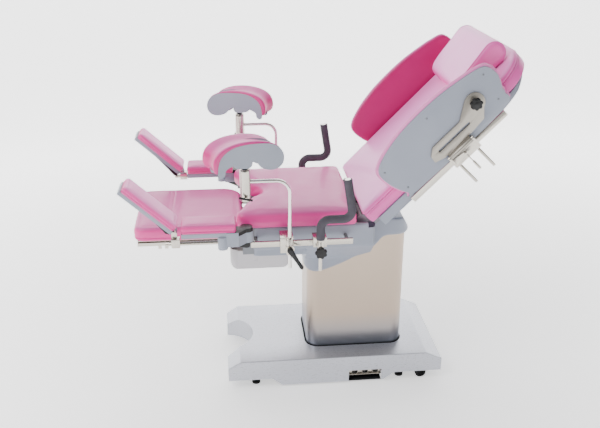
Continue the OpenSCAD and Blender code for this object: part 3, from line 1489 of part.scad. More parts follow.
module grip() {
	level_x = grip_x + grip_level_l;
	low_bend = grip_level_z - grip_bend;
	bend_r = grip_r - sleeve_step;
	lean_angle = atan2(grip_lean, grip_top_z - grip_level_z);
	corner = grip_bend * tan((90 + lean_angle) / 2);
	tip_l = (grip_top_z - grip_level_z) / cos(lean_angle) - corner;
	bend_x = level_x - corner;
	color("dimgray") {
		rod_z(grip_x, grip_y, grip_z, grip_foam_z + grip_bend, grip_post_r);
		rod_z(grip_x, grip_y, grip_foam_z, low_bend + cut, grip_r);
		translate([grip_x + grip_bend, grip_y, low_bend]) bend(grip_bend, bend_r, 90, 90);
		rod_x(grip_x + grip_bend - cut, bend_x + cut, grip_y, grip_level_z, grip_r);
		translate([bend_x, grip_y, grip_level_z + grip_bend])
			bend(grip_bend, bend_r, -90, 90 + lean_angle);
		translate([bend_x, grip_y, grip_level_z + grip_bend]) rotate([0, -lean_angle, 0])
			translate([grip_bend, 0, -cut]) cylinder(h = tip_l + cut, r = grip_r, $fn = 64);
	}
}

module grip_knob() {
	face = grip_y + 2 * grip_post_r + side_gap;
	color("black") difference() {
		star_knob(grip_x, face, grip_knob_z, grip_knob_r, knob_t, 7);
		rod_y(grip_x, face - cut, face + knob_reach, grip_knob_z, stud_r + run_gap);
	}
}

module aux_table() {
	slide_in = aux_slide_out - aux_slide_w;
	color("gray") {
		cross_block(aux_foot_x + aux_slide_w, aux_head_x - aux_slide_w, aux_plate_y,
					aux_plate_z, aux_plate_z + aux_plate_t);
		both_sides() block([aux_foot_x + aux_slide_w, slide_in, aux_slide_z],
						[aux_slide_head_x, aux_slide_out, aux_plate_z]);
		near_side() for (k = [7, 9]) {
			x = aux_foot_x + k * aux_slide_w;
			block([x, slide_in, aux_slide_z - aux_slide_w],
				[x + aux_slide_w, aux_slide_out, aux_slide_z]);
		}
	}
}

module aux_cushions() {
	z = aux_plate_z + aux_plate_t;
	head_mid = (aux_joint_x + aux_joint_w / 2 + aux_head_x) / 2;
	foot_mid = (aux_foot_x + aux_joint_x - aux_joint_w / 2) / 2;
	color("pink") {
		soft_block(
			round_outline([aux_foot_x, -aux_y], [aux_joint_x - aux_joint_w / 2, aux_y],
						[seat_corner_r, aux_joint_r, aux_joint_r, seat_corner_r], 4),
			[foot_mid, 0], [foot_mid - aux_foot_x, aux_y], cushion_levels(z, aux_t, aux_crown, 0.2));
		soft_block(
			round_outline([aux_joint_x + aux_joint_w / 2, -aux_y], [aux_head_x, aux_y],
						[aux_joint_r, aux_head_r, aux_head_r, aux_joint_r], 6),
			[head_mid, 0], [aux_head_x - head_mid, aux_y], cushion_levels(z, aux_t, aux_crown, 0.2));
	}
}

// Form of the basin, or of its hollow when a wall is given
module basin_form(wall) {
	mid = (basin_foot_x + basin_head_x) / 2;
	length = basin_head_x - basin_foot_x - 2 * wall;
	depth = 2 * (basin_y - wall);
	top = basin_rim_z + (wall > 0 ? cut : 0);
	low = basin_z + wall;
	r = basin_r - wall;
	intersection() {
		round_prism(mid, length, depth, r, low, top);
		union() {
			cross_block(mid - length / 2, mid + length / 2, basin_y, low + r, top);
			cross_block(mid - length / 2 + r, mid + length / 2 - r, basin_y, low, top);
			for (side = [-1, 1])
				rod_y(mid + side * (length / 2 - r), -basin_y, basin_y, low + r, r);
		}
	}
}

module basin() {
	color("lightgray") difference() {
		union() {
			basin_form(0);
			cross_block(basin_foot_x + basin_r, basin_head_x - basin_r, basin_flange_y,
						basin_rim_z - basin_wall, basin_rim_z);
		}
		basin_form(basin_wall);
	}
}

base_cover();
base_frame();
inner_column();
column_gasket();
lift_actuator();
socket_panel();
levelling_feet();
wheel_set();
column_shroud();
table_frame();
hull_cover();
seat_cushion();
seat_rails();
lift_rod();
back_gearmotor();
grip_clamps();
back_frame();
back_shell();
back_cushion();
head_pillow();
back_rails();
near_side() wing_clamp();  // wing_clamp_near
near_side() wing_bracket();  // wing_bracket_near
near_side() wing_panel();  // wing_panel_near
near_side() wing_pad();  // wing_pad_near
near_side() wing_knob();  // wing_knob_near
wing_clamp();  // wing_clamp_far
wing_bracket();  // wing_bracket_far
wing_panel();  // wing_panel_far
wing_pad();  // wing_pad_far
wing_knob();  // wing_knob_far
near_side() leg_arm();  // leg_arm_near
near_side() leg_cushion();  // leg_cushion_near
near_side() leg_lever();  // leg_lever_near
near_side() foot_bar();  // foot_bar_near
near_side() foot_shell();  // foot_shell_near
near_side() foot_cushion();  // foot_cushion_near
leg_arm();  // leg_arm_far
leg_cushion();  // leg_cushion_far
leg_lever();  // leg_lever_far
foot_bar();  // foot_bar_far
foot_shell();  // foot_shell_far
foot_cushion();  // foot_cushion_far
near_side() holder_clamp();  // holder_clamp_near
near_side() holder_lever();  // holder_lever_near
near_side() holder_rod();  // holder_rod_near
near_crutch() crutch_shell();  // crutch_shell_near
near_crutch() crutch_cushion();  // crutch_cushion_near
holder_clamp();  // holder_clamp_far
holder_lever();  // holder_lever_far
holder_rod();  // holder_rod_far
far_crutch() crutch_shell();  // crutch_shell_far
far_crutch() crutch_cushion();  // crutch_cushion_far
near_side() grip();  // grip_near
near_side() grip_knob();  // grip_knob_near
grip();  // grip_far
grip_knob();  // grip_knob_far
aux_table();
aux_cushions();
basin();
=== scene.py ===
import math

import bmesh
import bpy
from mathutils import Matrix, Vector


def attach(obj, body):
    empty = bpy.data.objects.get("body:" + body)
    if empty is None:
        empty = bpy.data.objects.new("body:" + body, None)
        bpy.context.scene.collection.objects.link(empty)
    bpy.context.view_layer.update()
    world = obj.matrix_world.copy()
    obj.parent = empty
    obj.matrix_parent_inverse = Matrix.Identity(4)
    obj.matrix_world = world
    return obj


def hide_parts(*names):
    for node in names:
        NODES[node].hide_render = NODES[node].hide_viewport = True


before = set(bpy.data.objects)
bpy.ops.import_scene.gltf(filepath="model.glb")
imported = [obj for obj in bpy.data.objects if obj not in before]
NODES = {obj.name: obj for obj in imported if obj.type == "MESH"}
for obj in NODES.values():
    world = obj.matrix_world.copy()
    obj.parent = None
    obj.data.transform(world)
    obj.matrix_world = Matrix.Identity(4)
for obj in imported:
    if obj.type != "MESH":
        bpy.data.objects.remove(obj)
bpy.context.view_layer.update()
scene = bpy.context.scene
MM = 0.001

# Sizes shared with the CAD, in mm
HINGE = Vector((12, 0, 801))
BACK_ANGLE = math.radians(45.5)
PAD_HINGE = Vector((-764, 0, 836))
PAD_ANGLE = math.radians(43)
HUB = Vector((-480, 388, 1101))
CRUTCH_TURN = math.radians(23)
GRIP_X, GRIP_Y = -184, 381
HOLDER_X = -309
LEG_HINGE_Y = 338
COLUMN_X = 8
WING_X, WING_Z, WING_LENGTH, WING_HEIGHT = 195, -31, 597, 232
WING_PLANE = 322
SOCKET_SPACING = 150 / 3.2

IDENTITY = Matrix.Identity(4)
BACK = Matrix.Translation(HINGE) @ Matrix.Rotation(-BACK_ANGLE, 4, "Y")
FOOT_PAD = Matrix.Translation(PAD_HINGE) @ Matrix.Rotation(PAD_ANGLE, 4, "Y")
NEAR = Matrix.Scale(-1, 4, (0, 1, 0))
NEAR_CRUTCH = Matrix.Translation((HUB.x, -HUB.y, 0)) @ Matrix.Rotation(CRUTCH_TURN, 4, "Z")
FAR_CRUTCH = (
    Matrix.Translation((HUB.x, HUB.y, 0))
    @ Matrix.Rotation(-CRUTCH_TURN, 4, "Z")
    @ Matrix.Scale(-1, 4, (1, 0, 0))
)
SIDES = (("near", NEAR), ("far", IDENTITY))
BACK_FACE = (-math.sin(BACK_ANGLE), 0, math.cos(BACK_ANGLE))
PAD_FACE = (math.sin(PAD_ANGLE), 0, math.cos(PAD_ANGLE))


# Materials
class Material:
    """A node material: values that vary come from procedural textures in object space."""

    def __init__(self, name, color, rough, metal=0.0, specular=0.5, coat=0.0):
        self.mat = bpy.data.materials.new(name)
        self.mat.use_nodes = True
        self.tree = self.mat.node_tree
        self.shader = self.tree.nodes["Principled BSDF"]
        self.shader.inputs["Base Color"].default_value = (*color, 1)
        self.shader.inputs["Roughness"].default_value = rough
        self.shader.inputs["Metallic"].default_value = metal
        self.shader.inputs["Specular IOR Level"].default_value = specular
        self.shader.inputs["Coat Weight"].default_value = coat
        self.color = color
        self.rough = rough
        self.coords = self.node("ShaderNodeTexCoord").outputs["Object"]

    def node(self, kind, **values):
        made = self.tree.nodes.new(kind)
        for key, value in values.items():
            if key in made.inputs:
                made.inputs[key].default_value = value
            else:
                setattr(made, key, value)
        return made

    def link(self, a, b):
        self.tree.links.new(a, b)

    def noise(self, scale, detail=3.0, stretch=(1, 1, 1), rotate=(0, 0, 0), distortion=0.0):
        mapping = self.node("ShaderNodeMapping")
        mapping.inputs["Scale"].default_value = stretch
        mapping.inputs["Rotation"].default_value = rotate
        self.link(self.coords, mapping.inputs["Vector"])
        made = self.node("ShaderNodeTexNoise")
        made.inputs["Scale"].default_value = scale
        made.inputs["Detail"].default_value = detail
        made.inputs["Distortion"].default_value = distortion
        self.link(mapping.outputs["Vector"], made.inputs["Vector"])
        return made.outputs["Fac"]

    def ramp(self, source, low, high, start=0.3, end=0.7):
        made = self.node("ShaderNodeMapRange")
        made.inputs["From Min"].default_value = start
        made.inputs["From Max"].default_value = end
        made.inputs["To Min"].default_value = low
        made.inputs["To Max"].default_value = high
        self.link(source, made.inputs["Value"])
        return made.outputs["Result"]

    def vary_color(self, source, other, start=0.3, end=0.7):
        mix = self.node("ShaderNodeMix", data_type="RGBA")
        mix.inputs["A"].default_value = (*self.color, 1)
        mix.inputs["B"].default_value = (*other, 1)
        self.link(self.ramp(source, 0.0, 1.0, start, end), mix.inputs["Factor"])
        self.link(mix.outputs["Result"], self.shader.inputs["Base Color"])
        return self

    def facing(self, axis, start, end):
        """1 where the surface of the piece looks along an axis, 0 where it looks aside."""
        normal = self.tree.nodes.new("ShaderNodeTexCoord").outputs["Normal"]
        dot = self.node("ShaderNodeVectorMath", operation="DOT_PRODUCT")
        self.link(normal, dot.inputs[0])
        dot.inputs[1].default_value = axis
        return self.ramp(dot.outputs["Value"], 0.0, 1.0, start, end)

    def height(self, low, high):
        """Runs from 0 at the height low to 1 at high, in metres."""
        split = self.node("ShaderNodeSeparateXYZ")
        self.link(self.coords, split.inputs["Vector"])
        return self.ramp(split.outputs["Z"], 0.0, 1.0, low, high)

    def blend_color(self, factor, other):
        """Mixes the colour so far with another one by a factor."""
        mix = self.node("ShaderNodeMix", data_type="RGBA")
        color = self.shader.inputs["Base Color"]
        if color.is_linked:
            self.link(color.links[0].from_socket, mix.inputs["A"])
        else:
            mix.inputs["A"].default_value = (*self.color, 1)
        mix.inputs["B"].default_value = (*other, 1)
        self.link(factor, mix.inputs["Factor"])
        self.link(mix.outputs["Result"], color)
        return self

    def vary_rough(self, source, low, high):
        self.link(self.ramp(source, low, high), self.shader.inputs["Roughness"])
        return self

    def bump(self, source, strength, distance=0.001):
        made = self.node("ShaderNodeBump")
        made.inputs["Strength"].default_value = strength
        made.inputs["Distance"].default_value = distance
        self.link(source, made.inputs["Height"])
        self.link(made.outputs["Normal"], self.shader.inputs["Normal"])
        return self


def linear(hex_color):
    values = [int(hex_color[i : i + 2], 16) / 255 for i in (0, 2, 4)]
    return tuple(v / 12.92 if v <= 0.04045 else ((v + 0.055) / 1.055) ** 2.4 for v in values)


def make_materials():
    made = {}

    def new(name, color, rough, **more):
        made[name] = Material(name, linear(color), rough, **more)
        return made[name]

    # Painted light and shade: each vinyl takes its second colour on faces that look along its axis. The
    # paler tops of the seat, back, pillow, foot pads and knee pads are painted light. The deep magenta
    # inner faces of the wings are painted shade, and the far wing's vinyl is a shaded copy of the near
    # wing's.
    for name, side, top, axis in (
        ("pink_vinyl", "EC3C9A", "DA5AA4", (0, 0, 1)),
        ("pink_vinyl_back", "F664BC", "FF9EE2", BACK_FACE),
        ("pink_vinyl_pad", "EE4AA4", "FC90D4", PAD_FACE),
        ("pink_vinyl_knee", "D42A84", "E060AA", (0, 0, 1)),
        ("pink_vinyl_wing_far", "E86CB8", "BE1270", (0, -1, 0)),
        ("pink_vinyl_wing_near", "F68CCC", "BE1270", (0, 1, 0)),
    ):
        m = new(name, side, 0.42, specular=0.5, coat=0.12)
        m.vary_color(m.noise(6.0, 4.0), tuple(0.93 * c for c in linear(side)))
        # painted light and shade: the second colour goes on faces that look along the axis
        m.blend_color(m.facing(axis, 0.35, 0.85), linear(top))
        m.vary_rough(m.noise(14.0, 4.0), 0.36, 0.5)
        m.bump(m.noise(900.0, 2.0), 0.06, 0.0004)
    m = new("cover_plastic", "989EAC", 0.36, specular=0.45)
    m.vary_color(m.noise(5.0, 3.0), linear("9298A7"))
    m.vary_rough(m.noise(30.0, 4.0), 0.32, 0.42)
    m.bump(m.noise(1400.0, 2.0), 0.05, 0.0002)
    m = new("base_sheet", "C6C8D0", 0.3, metal=0.5, specular=0.5)
    m.vary_color(m.noise(3.0, 3.0), linear("BEC0C9"))
    m.vary_rough(m.noise(60.0, 3.0, stretch=(1, 12, 12)), 0.26, 0.36)
    m.bump(m.noise(600.0, 2.0, stretch=(0.05, 1, 1)), 0.03, 0.0002)
    m = new("satin_steel", "B5A494", 0.3, metal=0.9, specular=0.5)
    m.vary_color(m.noise(2.0, 2.0), linear("AF9E8F"))
    # Painted reflection and shade: the steel turns darker and blue-grey towards the column's foot,
    # where it mirrors the blue-grey base cover.
    m.blend_color(m.height(0.3, 0.15), linear("989CA6"))
    m.vary_rough(m.noise(30.0, 2.0, stretch=(1, 1, 0.04)), 0.28, 0.32)
    m = new("rail_steel", "C6C0B6", 0.2, metal=0.95, specular=0.5)
    m.vary_color(m.noise(9.0, 2.0), linear("BEB8AE"))
    m.vary_rough(m.noise(60.0, 3.0), 0.16, 0.26)
    m = new("bright_steel", "EEEBE6", 0.16, metal=0.9, specular=0.5)
    m.vary_rough(m.noise(60.0, 3.0), 0.12, 0.22)
    # Painted shade: a darker, duller copy of the rail steel for the wing brackets.
    m = new("bracket_steel_shaded", "A8A298", 0.3, metal=0.6, specular=0.5)
    m.vary_color(m.noise(5.0, 1.0), linear("A19B92"))
    m.vary_rough(m.noise(20.0, 1.0), 0.28, 0.33)
    m = new("frame_paint", "86898F", 0.45, specular=0.4)
    m.vary_rough(m.noise(40.0, 3.0), 0.4, 0.52)
    m = new("dark_steel", "3A3B3E", 0.5, metal=0.3)
    m.vary_rough(m.noise(40.0, 3.0), 0.45, 0.6)
    m = new("black_plastic", "0C0C0D", 0.4, specular=0.4)
    m.vary_color(m.noise(20.0, 3.0), linear("111113"))
    m.vary_rough(m.noise(40.0, 3.0), 0.34, 0.5)
    m = new("dark_plastic", "17171A", 0.5, specular=0.4)
    m.vary_rough(m.noise(40.0, 3.0), 0.44, 0.58)
    m = new("rubber", "0A0A0B", 0.7, specular=0.25)
    m.vary_rough(m.noise(50.0, 3.0), 0.62, 0.8)
    m.bump(m.noise(500.0, 2.0), 0.1, 0.0003)
    m = new("grip_foam", "524F57", 0.78, specular=0.2)
    m.vary_color(m.noise(30.0, 4.0), linear("49464E"))
    m.bump(m.noise(700.0, 3.0), 0.25, 0.0005)
    m = new("basin_plastic", "D2CED2", 0.3, specular=0.5)
    m.vary_color(m.noise(4.0, 2.0), linear("CBC7CB"))
    m.vary_rough(m.noise(30.0, 3.0), 0.26, 0.36)
    return {key: value.mat for key, value in made.items()}


MAT = make_materials()


# Mesh helpers
def linked(name, data):
    """A new object for a mesh, a light or a camera, put into the scene."""
    obj = bpy.data.objects.new(name, data)
    scene.collection.objects.link(obj)
    return obj


def removed(obj):
    data = obj.data
    bpy.data.objects.remove(obj)
    bpy.data.meshes.remove(data)


def shade_smooth(mesh):
    mesh.polygons.foreach_set("use_smooth", [True] * len(mesh.polygons))


def only_material(mesh, name):
    """One material on every face, also on those that a cutting tool left."""
    mesh.materials.clear()
    mesh.materials.append(MAT[name])
    mesh.polygons.foreach_set("material_index", [0] * len(mesh.polygons))


def ring_faces(rings, count, capped=True):
    """Faces between closed rings of count points each, and a cap on the first and last ring."""
    faces = []
    for i in range(rings - 1):
        for j in range(count):
            k = (j + 1) % count
            faces.append((i * count + j, i * count + k, (i + 1) * count + k, (i + 1) * count + j))
    if capped:
        last = (rings - 1) * count
        faces.append(tuple(range(count - 1, -1, -1)))
        faces.append(tuple(last + j for j in range(count)))
    return faces


def new_object(name, verts, faces, material, place=IDENTITY):
    """Makes a mesh object from points in mm in the frame of place."""
    mesh = bpy.data.meshes.new(name)
    mesh.from_pydata([(place @ Vector(v)) * MM for v in verts], [], faces)
    mesh.materials.append(MAT[material])
    shade_smooth(mesh)
    mesh.update()
    bm = bmesh.new()
    bm.from_mesh(mesh)
    bmesh.ops.remove_doubles(bm, verts=bm.verts, dist=1e-6)
    bmesh.ops.recalc_face_normals(bm, faces=bm.faces)
    bm.to_mesh(mesh)
    bm.free()
    return linked(name, mesh)


def apply_modifiers(obj):
    deps = bpy.context.evaluated_depsgraph_get()
    deps.update()
    result = bpy.data.meshes.new_from_object(obj.evaluated_get(deps), depsgraph=deps)
    old = obj.data
    obj.modifiers.clear()
    obj.data = result
    bpy.data.meshes.remove(old)
    return obj


def sharp_by_angle(obj, degrees):
    """Smooth faces, with sharp edges where they meet at more than an angle."""
    bm = bmesh.new()
    bm.from_mesh(obj.data)
    limit = math.radians(degrees)
    for edge in bm.edges:
        edge.smooth = edge.calc_face_angle(0.0) < limit
    for face in bm.faces:
        face.smooth = True
    bm.to_mesh(obj.data)
    bm.free()


def arc(x, y, r, start, end, steps):
    """Points of an arc between two angles in degrees."""
    angles = [math.radians(start + (end - start) * k / steps) for k in range(steps + 1)]
    return [(x + r * math.cos(a), y + r * math.sin(a)) for a in angles]


def round_rect(low, high, radii, steps=10, side_steps=8):
    """Outline of a rectangle with its own radius at each corner, anticlockwise."""
    corners = (
        (low[0] + radii[0], low[1] + radii[0], radii[0], 180),
        (high[0] - radii[1], low[1] + radii[1], radii[1], 270),
        (high[0] - radii[2], high[1] - radii[2], radii[2], 0),
        (low[0] + radii[3], high[1] - radii[3], radii[3], 90),
    )
    arcs = [arc(x, y, r, start, start + 90, steps) for x, y, r, start in corners]
    points = []
    for i, bend in enumerate(arcs):
        points += bend
        (x, y), (next_x, next_y) = bend[-1], arcs[(i + 1) % 4][0]
        for k in range(1, side_steps):
            t = k / side_steps
            points.append((x + (next_x - x) * t, y + (next_y - y) * t))
    return points


def resample(points, count, closed=True):
    """Spreads points evenly round a closed outline, or along an open curve."""
    pts = [Vector(p) for p in points]
    if closed:
        pts.append(pts[0])
    lengths = [0.0]
    for a, b in zip(pts, pts[1:]):
        lengths.append(lengths[-1] + (b - a).length)
    out = []
    i = 0
    for k in range(count):
        s = lengths[-1] * k / (count if closed else count - 1)
        while i < len(pts) - 2 and lengths[i + 1] < s:
            i += 1
        t = (s - lengths[i]) / max(lengths[i + 1] - lengths[i], 1e-9)
        out.append(tuple(pts[i].lerp(pts[i + 1], min(max(t, 0), 1))))
    return out


def smooth_outline(points, rounds=2):
    """Rounds a coarse outline by cutting its corners."""
    pts = [Vector(p) for p in points]
    for _ in range(rounds):
        cut = []
        for a, b in zip(pts, pts[1:] + pts[:1]):
            cut += [a.lerp(b, 0.25), a.lerp(b, 0.75)]
        pts = cut
    return [tuple(p) for p in pts]


def outline_normals(points):
    """Outward normals of an anticlockwise outline."""
    n = len(points)
    out = []
    for i in range(n):
        a, b = Vector(points[i - 1]), Vector(points[(i + 1) % n])
        d = (b - a).normalized()
        out.append(Vector((d.y, -d.x)))
    return out


def distance_to_outline(p, points):
    best = math.inf
    for a, b in zip(points, points[1:] + points[:1]):
        ab = (b[0] - a[0], b[1] - a[1])
        ap = (p[0] - a[0], p[1] - a[1])
        length = ab[0] * ab[0] + ab[1] * ab[1]
        t = max(0.0, min(1.0, (ap[0] * ab[0] + ap[1] * ab[1]) / max(length, 1e-12)))
        dx, dy = ap[0] - ab[0] * t, ap[1] - ab[1] * t
        best = min(best, dx * dx + dy * dy)
    return math.sqrt(best)


# The rings of a cushion's top, as shares of its outline
CROWN_SCALES = (
    0.998, 0.995, 0.991, 0.986, 0.98, 0.972, 0.962, 0.95, 0.935, 0.915, 0.89, 0.86, 0.82,
    0.77, 0.71, 0.64, 0.56, 0.47, 0.37, 0.26, 0.14,
)


def cushion_mesh(
    name,
    outline,
    middle,
    low,
    high,
    edge=14.0,
    crown=5.0,
    reach=90.0,
    seam=None,
    foot=4.0,
    place=IDENTITY,
    shape=None,
    seam_depth=3.0,
    material="pink_vinyl",
    bulge=1.5,
):
    """A crowned upholstered block over an outline, with a drawn-in foot, a seam line round it and
    a rounded upper edge. shape(x, y) adds its own height to the top. Heights in mm."""
    n = len(outline)
    normals = outline_normals(outline)
    levels = [(low, foot * 1.6), (low + 1.5, foot * 0.7), (low + 4, foot * 0.2), (low + 8, 0.0)]
    body_top = high - crown - edge
    if seam is not None:
        start, end = low + 8, seam - 4
        for k in range(1, 4):
            t = k / 3
            levels.append((start + (end - start) * t, -bulge * math.sin(math.pi * t) * 0.6))
        levels += [
            (seam - 2.0, seam_depth * 0.35),
            (seam - 0.8, seam_depth),
            (seam + 0.8, seam_depth),
            (seam + 2.0, seam_depth * 0.35),
            (seam + 4.5, 0.0),
        ]
        start, end = seam + 4.5, body_top
    else:
        start, end = low + 8, body_top
    for k in range(1, 5):
        t = k / 4
        levels.append((start + (end - start) * t, -bulge * math.sin(math.pi * t)))
    rings = []
    for z, inset in levels:
        rings.append(
            [(p[0] - nv.x * inset, p[1] - nv.y * inset, z) for p, nv in zip(outline, normals)]
        )

    def top_height(p, d):
        d = min(d, reach)
        if d < edge:
            rise = math.sqrt(max(edge * edge - (edge - d) ** 2, 0.0))
        else:
            rise = edge
        z = body_top + rise + crown * math.sin(0.5 * math.pi * d / reach)
        if shape:
            z += shape(p[0], p[1]) * min(1.0, d / max(edge, 1.0))
        return z

    for s in CROWN_SCALES:
        ring = []
        for p in outline:
            q = (middle[0] + (p[0] - middle[0]) * s, middle[1] + (p[1] - middle[1]) * s)
            ring.append((q[0], q[1], top_height(q, distance_to_outline(q, outline))))
        rings.append(ring)
    verts = [v for ring in rings for v in ring]
    faces = ring_faces(len(rings), n, capped=False)
    centre_top = len(verts)
    verts.append((middle[0], middle[1], top_height(middle, distance_to_outline(middle, outline))))
    centre_low = len(verts)
    verts.append((middle[0], middle[1], low))
    last = (len(rings) - 1) * n
    for j in range(n):
        k = (j + 1) % n
        faces.append((last + j, last + k, centre_top))
        faces.append((k, j, centre_low))
    return new_object(name, verts, faces, material, place)


def slab_mesh(name, outline, low, high, edge, material, place=IDENTITY, steps=4, edge_low=None):
    """A flat plate over an outline with rounded edges."""
    edge_low = edge if edge_low is None else edge_low
    normals = outline_normals(outline)
    turns = [math.pi / 2 * k / steps for k in range(steps + 1)]
    levels = [(low + edge_low * (1 - math.cos(a)), edge_low * (1 - math.sin(a))) for a in turns]
    levels += [(high - edge * (1 - math.sin(a)), edge * (1 - math.cos(a))) for a in turns]
    verts = [
        (p[0] - nv.x * inset, p[1] - nv.y * inset, z)
        for z, inset in levels
        for p, nv in zip(outline, normals)
    ]
    obj = new_object(name, verts, ring_faces(len(levels), len(outline)), material, place)
    sharp_by_angle(obj, 50)
    return obj


def tube_mesh(name, path, radius, material, place=IDENTITY, sides=28):
    """A round tube along a path of points in mm."""
    pts = [Vector(p) for p in path]
    turns = [2 * math.pi * k / sides for k in range(sides)]
    tangent = (pts[1] - pts[0]).normalized()
    up = Vector((0, 1, 0)) if abs(tangent.y) < 0.9 else Vector((1, 0, 0))
    normal = tangent.cross(up).normalized()
    verts = []
    for i, p in enumerate(pts):
        if i == 0:
            t = (pts[1] - pts[0]).normalized()
        elif i == len(pts) - 1:
            t = (pts[-1] - pts[-2]).normalized()
        else:
            t = ((pts[i + 1] - p).normalized() + (p - pts[i - 1]).normalized()).normalized()
        normal = (normal - t * normal.dot(t)).normalized()
        side = t.cross(normal)
        verts += [p + (normal * math.cos(a) + side * math.sin(a)) * radius for a in turns]
    obj = new_object(name, verts, ring_faces(len(pts), sides), material, place)
    sharp_by_angle(obj, 50)
    return obj


def rounded_path(points, radius, steps=10):
    """A path through points with its corners rounded to a radius."""
    pts = [Vector(p) for p in points]
    out = [pts[0]]
    for i in range(1, len(pts) - 1):
        a, b, c = pts[i - 1], pts[i], pts[i + 1]
        u, v = (a - b).normalized(), (c - b).normalized()
        angle = u.angle(v)
        back = radius / math.tan(angle / 2)
        start, end = b + u * back, b + v * back
        centre = b + (u + v).normalized() * (radius / math.sin(angle / 2))
        s, e = start - centre, end - centre
        turn = s.angle(e)
        for k in range(steps + 1):
            t = k / steps
            w = (s * math.sin((1 - t) * turn) + e * math.sin(t * turn)) / math.sin(turn)
            out.append(centre + w)
    out.append(pts[-1])
    return out


def lathe(name, profile, material, place, sides=36):
    """A body of revolution round the local z axis; profile is a list of radius and height."""
    turns = [2 * math.pi * k / sides for k in range(sides)]
    verts = [(r * math.cos(a), r * math.sin(a), z) for r, z in profile for a in turns]
    obj = new_object(name, verts, ring_faces(len(profile), sides), material, place)
    sharp_by_angle(obj, 40)
    return obj


def bevelled(obj, bevel, segments=3, angle=30):
    mod = obj.modifiers.new("bevel", "BEVEL")
    mod.width = bevel * MM
    mod.segments = segments
    mod.limit_method = "ANGLE"
    mod.angle_limit = math.radians(angle)
    mod.use_clamp_overlap = True
    mod.harden_normals = False
    apply_modifiers(obj)
    shade_smooth(obj.data)
    sharp_by_angle(obj, 28)
    return obj


def joined(name, objects):
    """One object from several, with their materials kept."""
    bm = bmesh.new()
    materials = []
    for obj in objects:
        index = {}
        for i, mat in enumerate(obj.data.materials):
            if mat not in materials:
                materials.append(mat)
            index[i] = materials.index(mat)
        first = len(bm.faces)
        bm.from_mesh(obj.data)
        bm.faces.ensure_lookup_table()
        for face in bm.faces[first:]:
            face.material_index = index.get(face.material_index, 0)
    mesh = bpy.data.meshes.new(name)
    bm.to_mesh(mesh)
    bm.free()
    for mat in materials:
        mesh.materials.append(mat)
    for obj in objects:
        removed(obj)
    return linked(name, mesh)


def piece(obj, body, slot, *nodes):
    """Says which body a piece rides and the CAD nodes that it stands for, which it hides; slot is not
    used.
    """
    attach(obj, body)
    if nodes:
        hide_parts(*nodes)
    return obj


def rounded_copy(node, bevel, material):
    """The CAD node's own shape with its edges rounded."""
    mesh = NODES[node].data.copy()
    obj = linked("round_" + node, mesh)
    bm = bmesh.new()
    bm.from_mesh(mesh)
    bmesh.ops.remove_doubles(bm, verts=bm.verts, dist=1e-6)
    bmesh.ops.dissolve_limit(bm, angle_limit=math.radians(1.0), verts=bm.verts, edges=bm.edges)
    bm.to_mesh(mesh)
    bm.free()
    only_material(mesh, material)
    return bevelled(obj, bevel, 2, 35)


# Places for side-view pieces
def facing_in(y):
    """Local z points from the plane at y towards the mid-plane."""
    return Matrix(((1, 0, 0, 0), (0, 0, -1, y), (0, 1, 0, 0), (0, 0, 0, 1)))


def facing_out(y):
    """Local z points from the plane at y away from the mid-plane."""
    return Matrix(((1, 0, 0, 0), (0, 0, 1, y), (0, 1, 0, 0), (0, 0, 0, 1)))


CLOTH_FRAMES = 20


def inflate(obj, cap, hold, voxel=0.006, pressure=4.0):
    """Lets the cover of a padded piece swell and settle as cloth, each point moving at most cap mm.
    The points that hold(co) names stay."""
    work = obj.copy()
    work.data = obj.data.copy()
    scene.collection.objects.link(work)
    mod = work.modifiers.new("even", "REMESH")
    mod.mode = "VOXEL"
    mod.voxel_size = voxel
    apply_modifiers(work)
    start = [v.co.copy() for v in work.data.vertices]
    group = work.vertex_groups.new(name="held")
    group.add([i for i, co in enumerate(start) if hold(co)], 1.0, "REPLACE")
    mod = work.modifiers.new("cloth", "CLOTH")
    settings = mod.settings
    settings.quality = 6
    settings.mass = 0.4
    settings.tension_stiffness = 25
    settings.compression_stiffness = 25
    settings.shear_stiffness = 12
    settings.bending_stiffness = 3.0
    settings.use_pressure = True
    settings.uniform_pressure_force = pressure
    settings.effector_weights.gravity = 0.0
    settings.vertex_group_mass = "held"
    settings.pin_stiffness = 1.0
    mod.point_cache.frame_start = 1
    mod.point_cache.frame_end = CLOTH_FRAMES
    for number in range(1, CLOTH_FRAMES + 1):
        scene.frame_set(number)
    deps = bpy.context.evaluated_depsgraph_get()
    result = work.evaluated_get(deps)
    moved = [v.co.copy() for v in result.data.vertices]
    scene.frame_set(1)
    work.modifiers.clear()
    limit = cap * MM
    for vertex, a, b in zip(work.data.vertices, start, moved):
        step = b - a
        if step.length > limit:
            step = step.normalized() * limit
        vertex.co = a + step
    smooth = work.modifiers.new("settle", "SMOOTH")
    smooth.factor = 0.5
    smooth.iterations = 6
    divide = work.modifiers.new("round", "SUBSURF")
    divide.levels = 1
    apply_modifiers(work)
    shade_smooth(work.data)
    old = obj.data
    obj.data = work.data
    bpy.data.objects.remove(work)
    bpy.data.meshes.remove(old)


def channel(points, distance, depth, width):
    """A sewn channel that follows an outline at a distance inside it."""

    def height(x, y):
        d = distance_to_outline((x, y), points)
        return -depth * math.exp(-(((d - distance) / width) ** 2))

    return height


def wing_outline(margin):
    """The outline of a wing in its own plane, widened by a margin."""
    points = [
        (
            WING_X + px * WING_LENGTH + margin * (2 * px - 1),
            WING_Z + pz * (WING_HEIGHT + margin),
        )
        for px, pz in WING_SHARES
    ]
    return resample(catmull(points, 8), 180)


WING_SHARES = [
    (0.109, 0), (0.868, 0), (0.956, 0.22), (0.96, 0.293), (0.997, 0.547), (0.973, 0.789),
    (0.886, 0.875), (0.789, 0.927), (0.642, 0.983), (0.482, 1), (0.307, 0.983), (0.134, 0.901),
    (0.012, 0.75), (0.002, 0.44), (0.05, 0.091),
]
SCREW_SHARES = [(0.037, 0.668), (0.075, 0.168), (0.481, 0.849), (0.928, 0.711), (0.894, 0.203)]


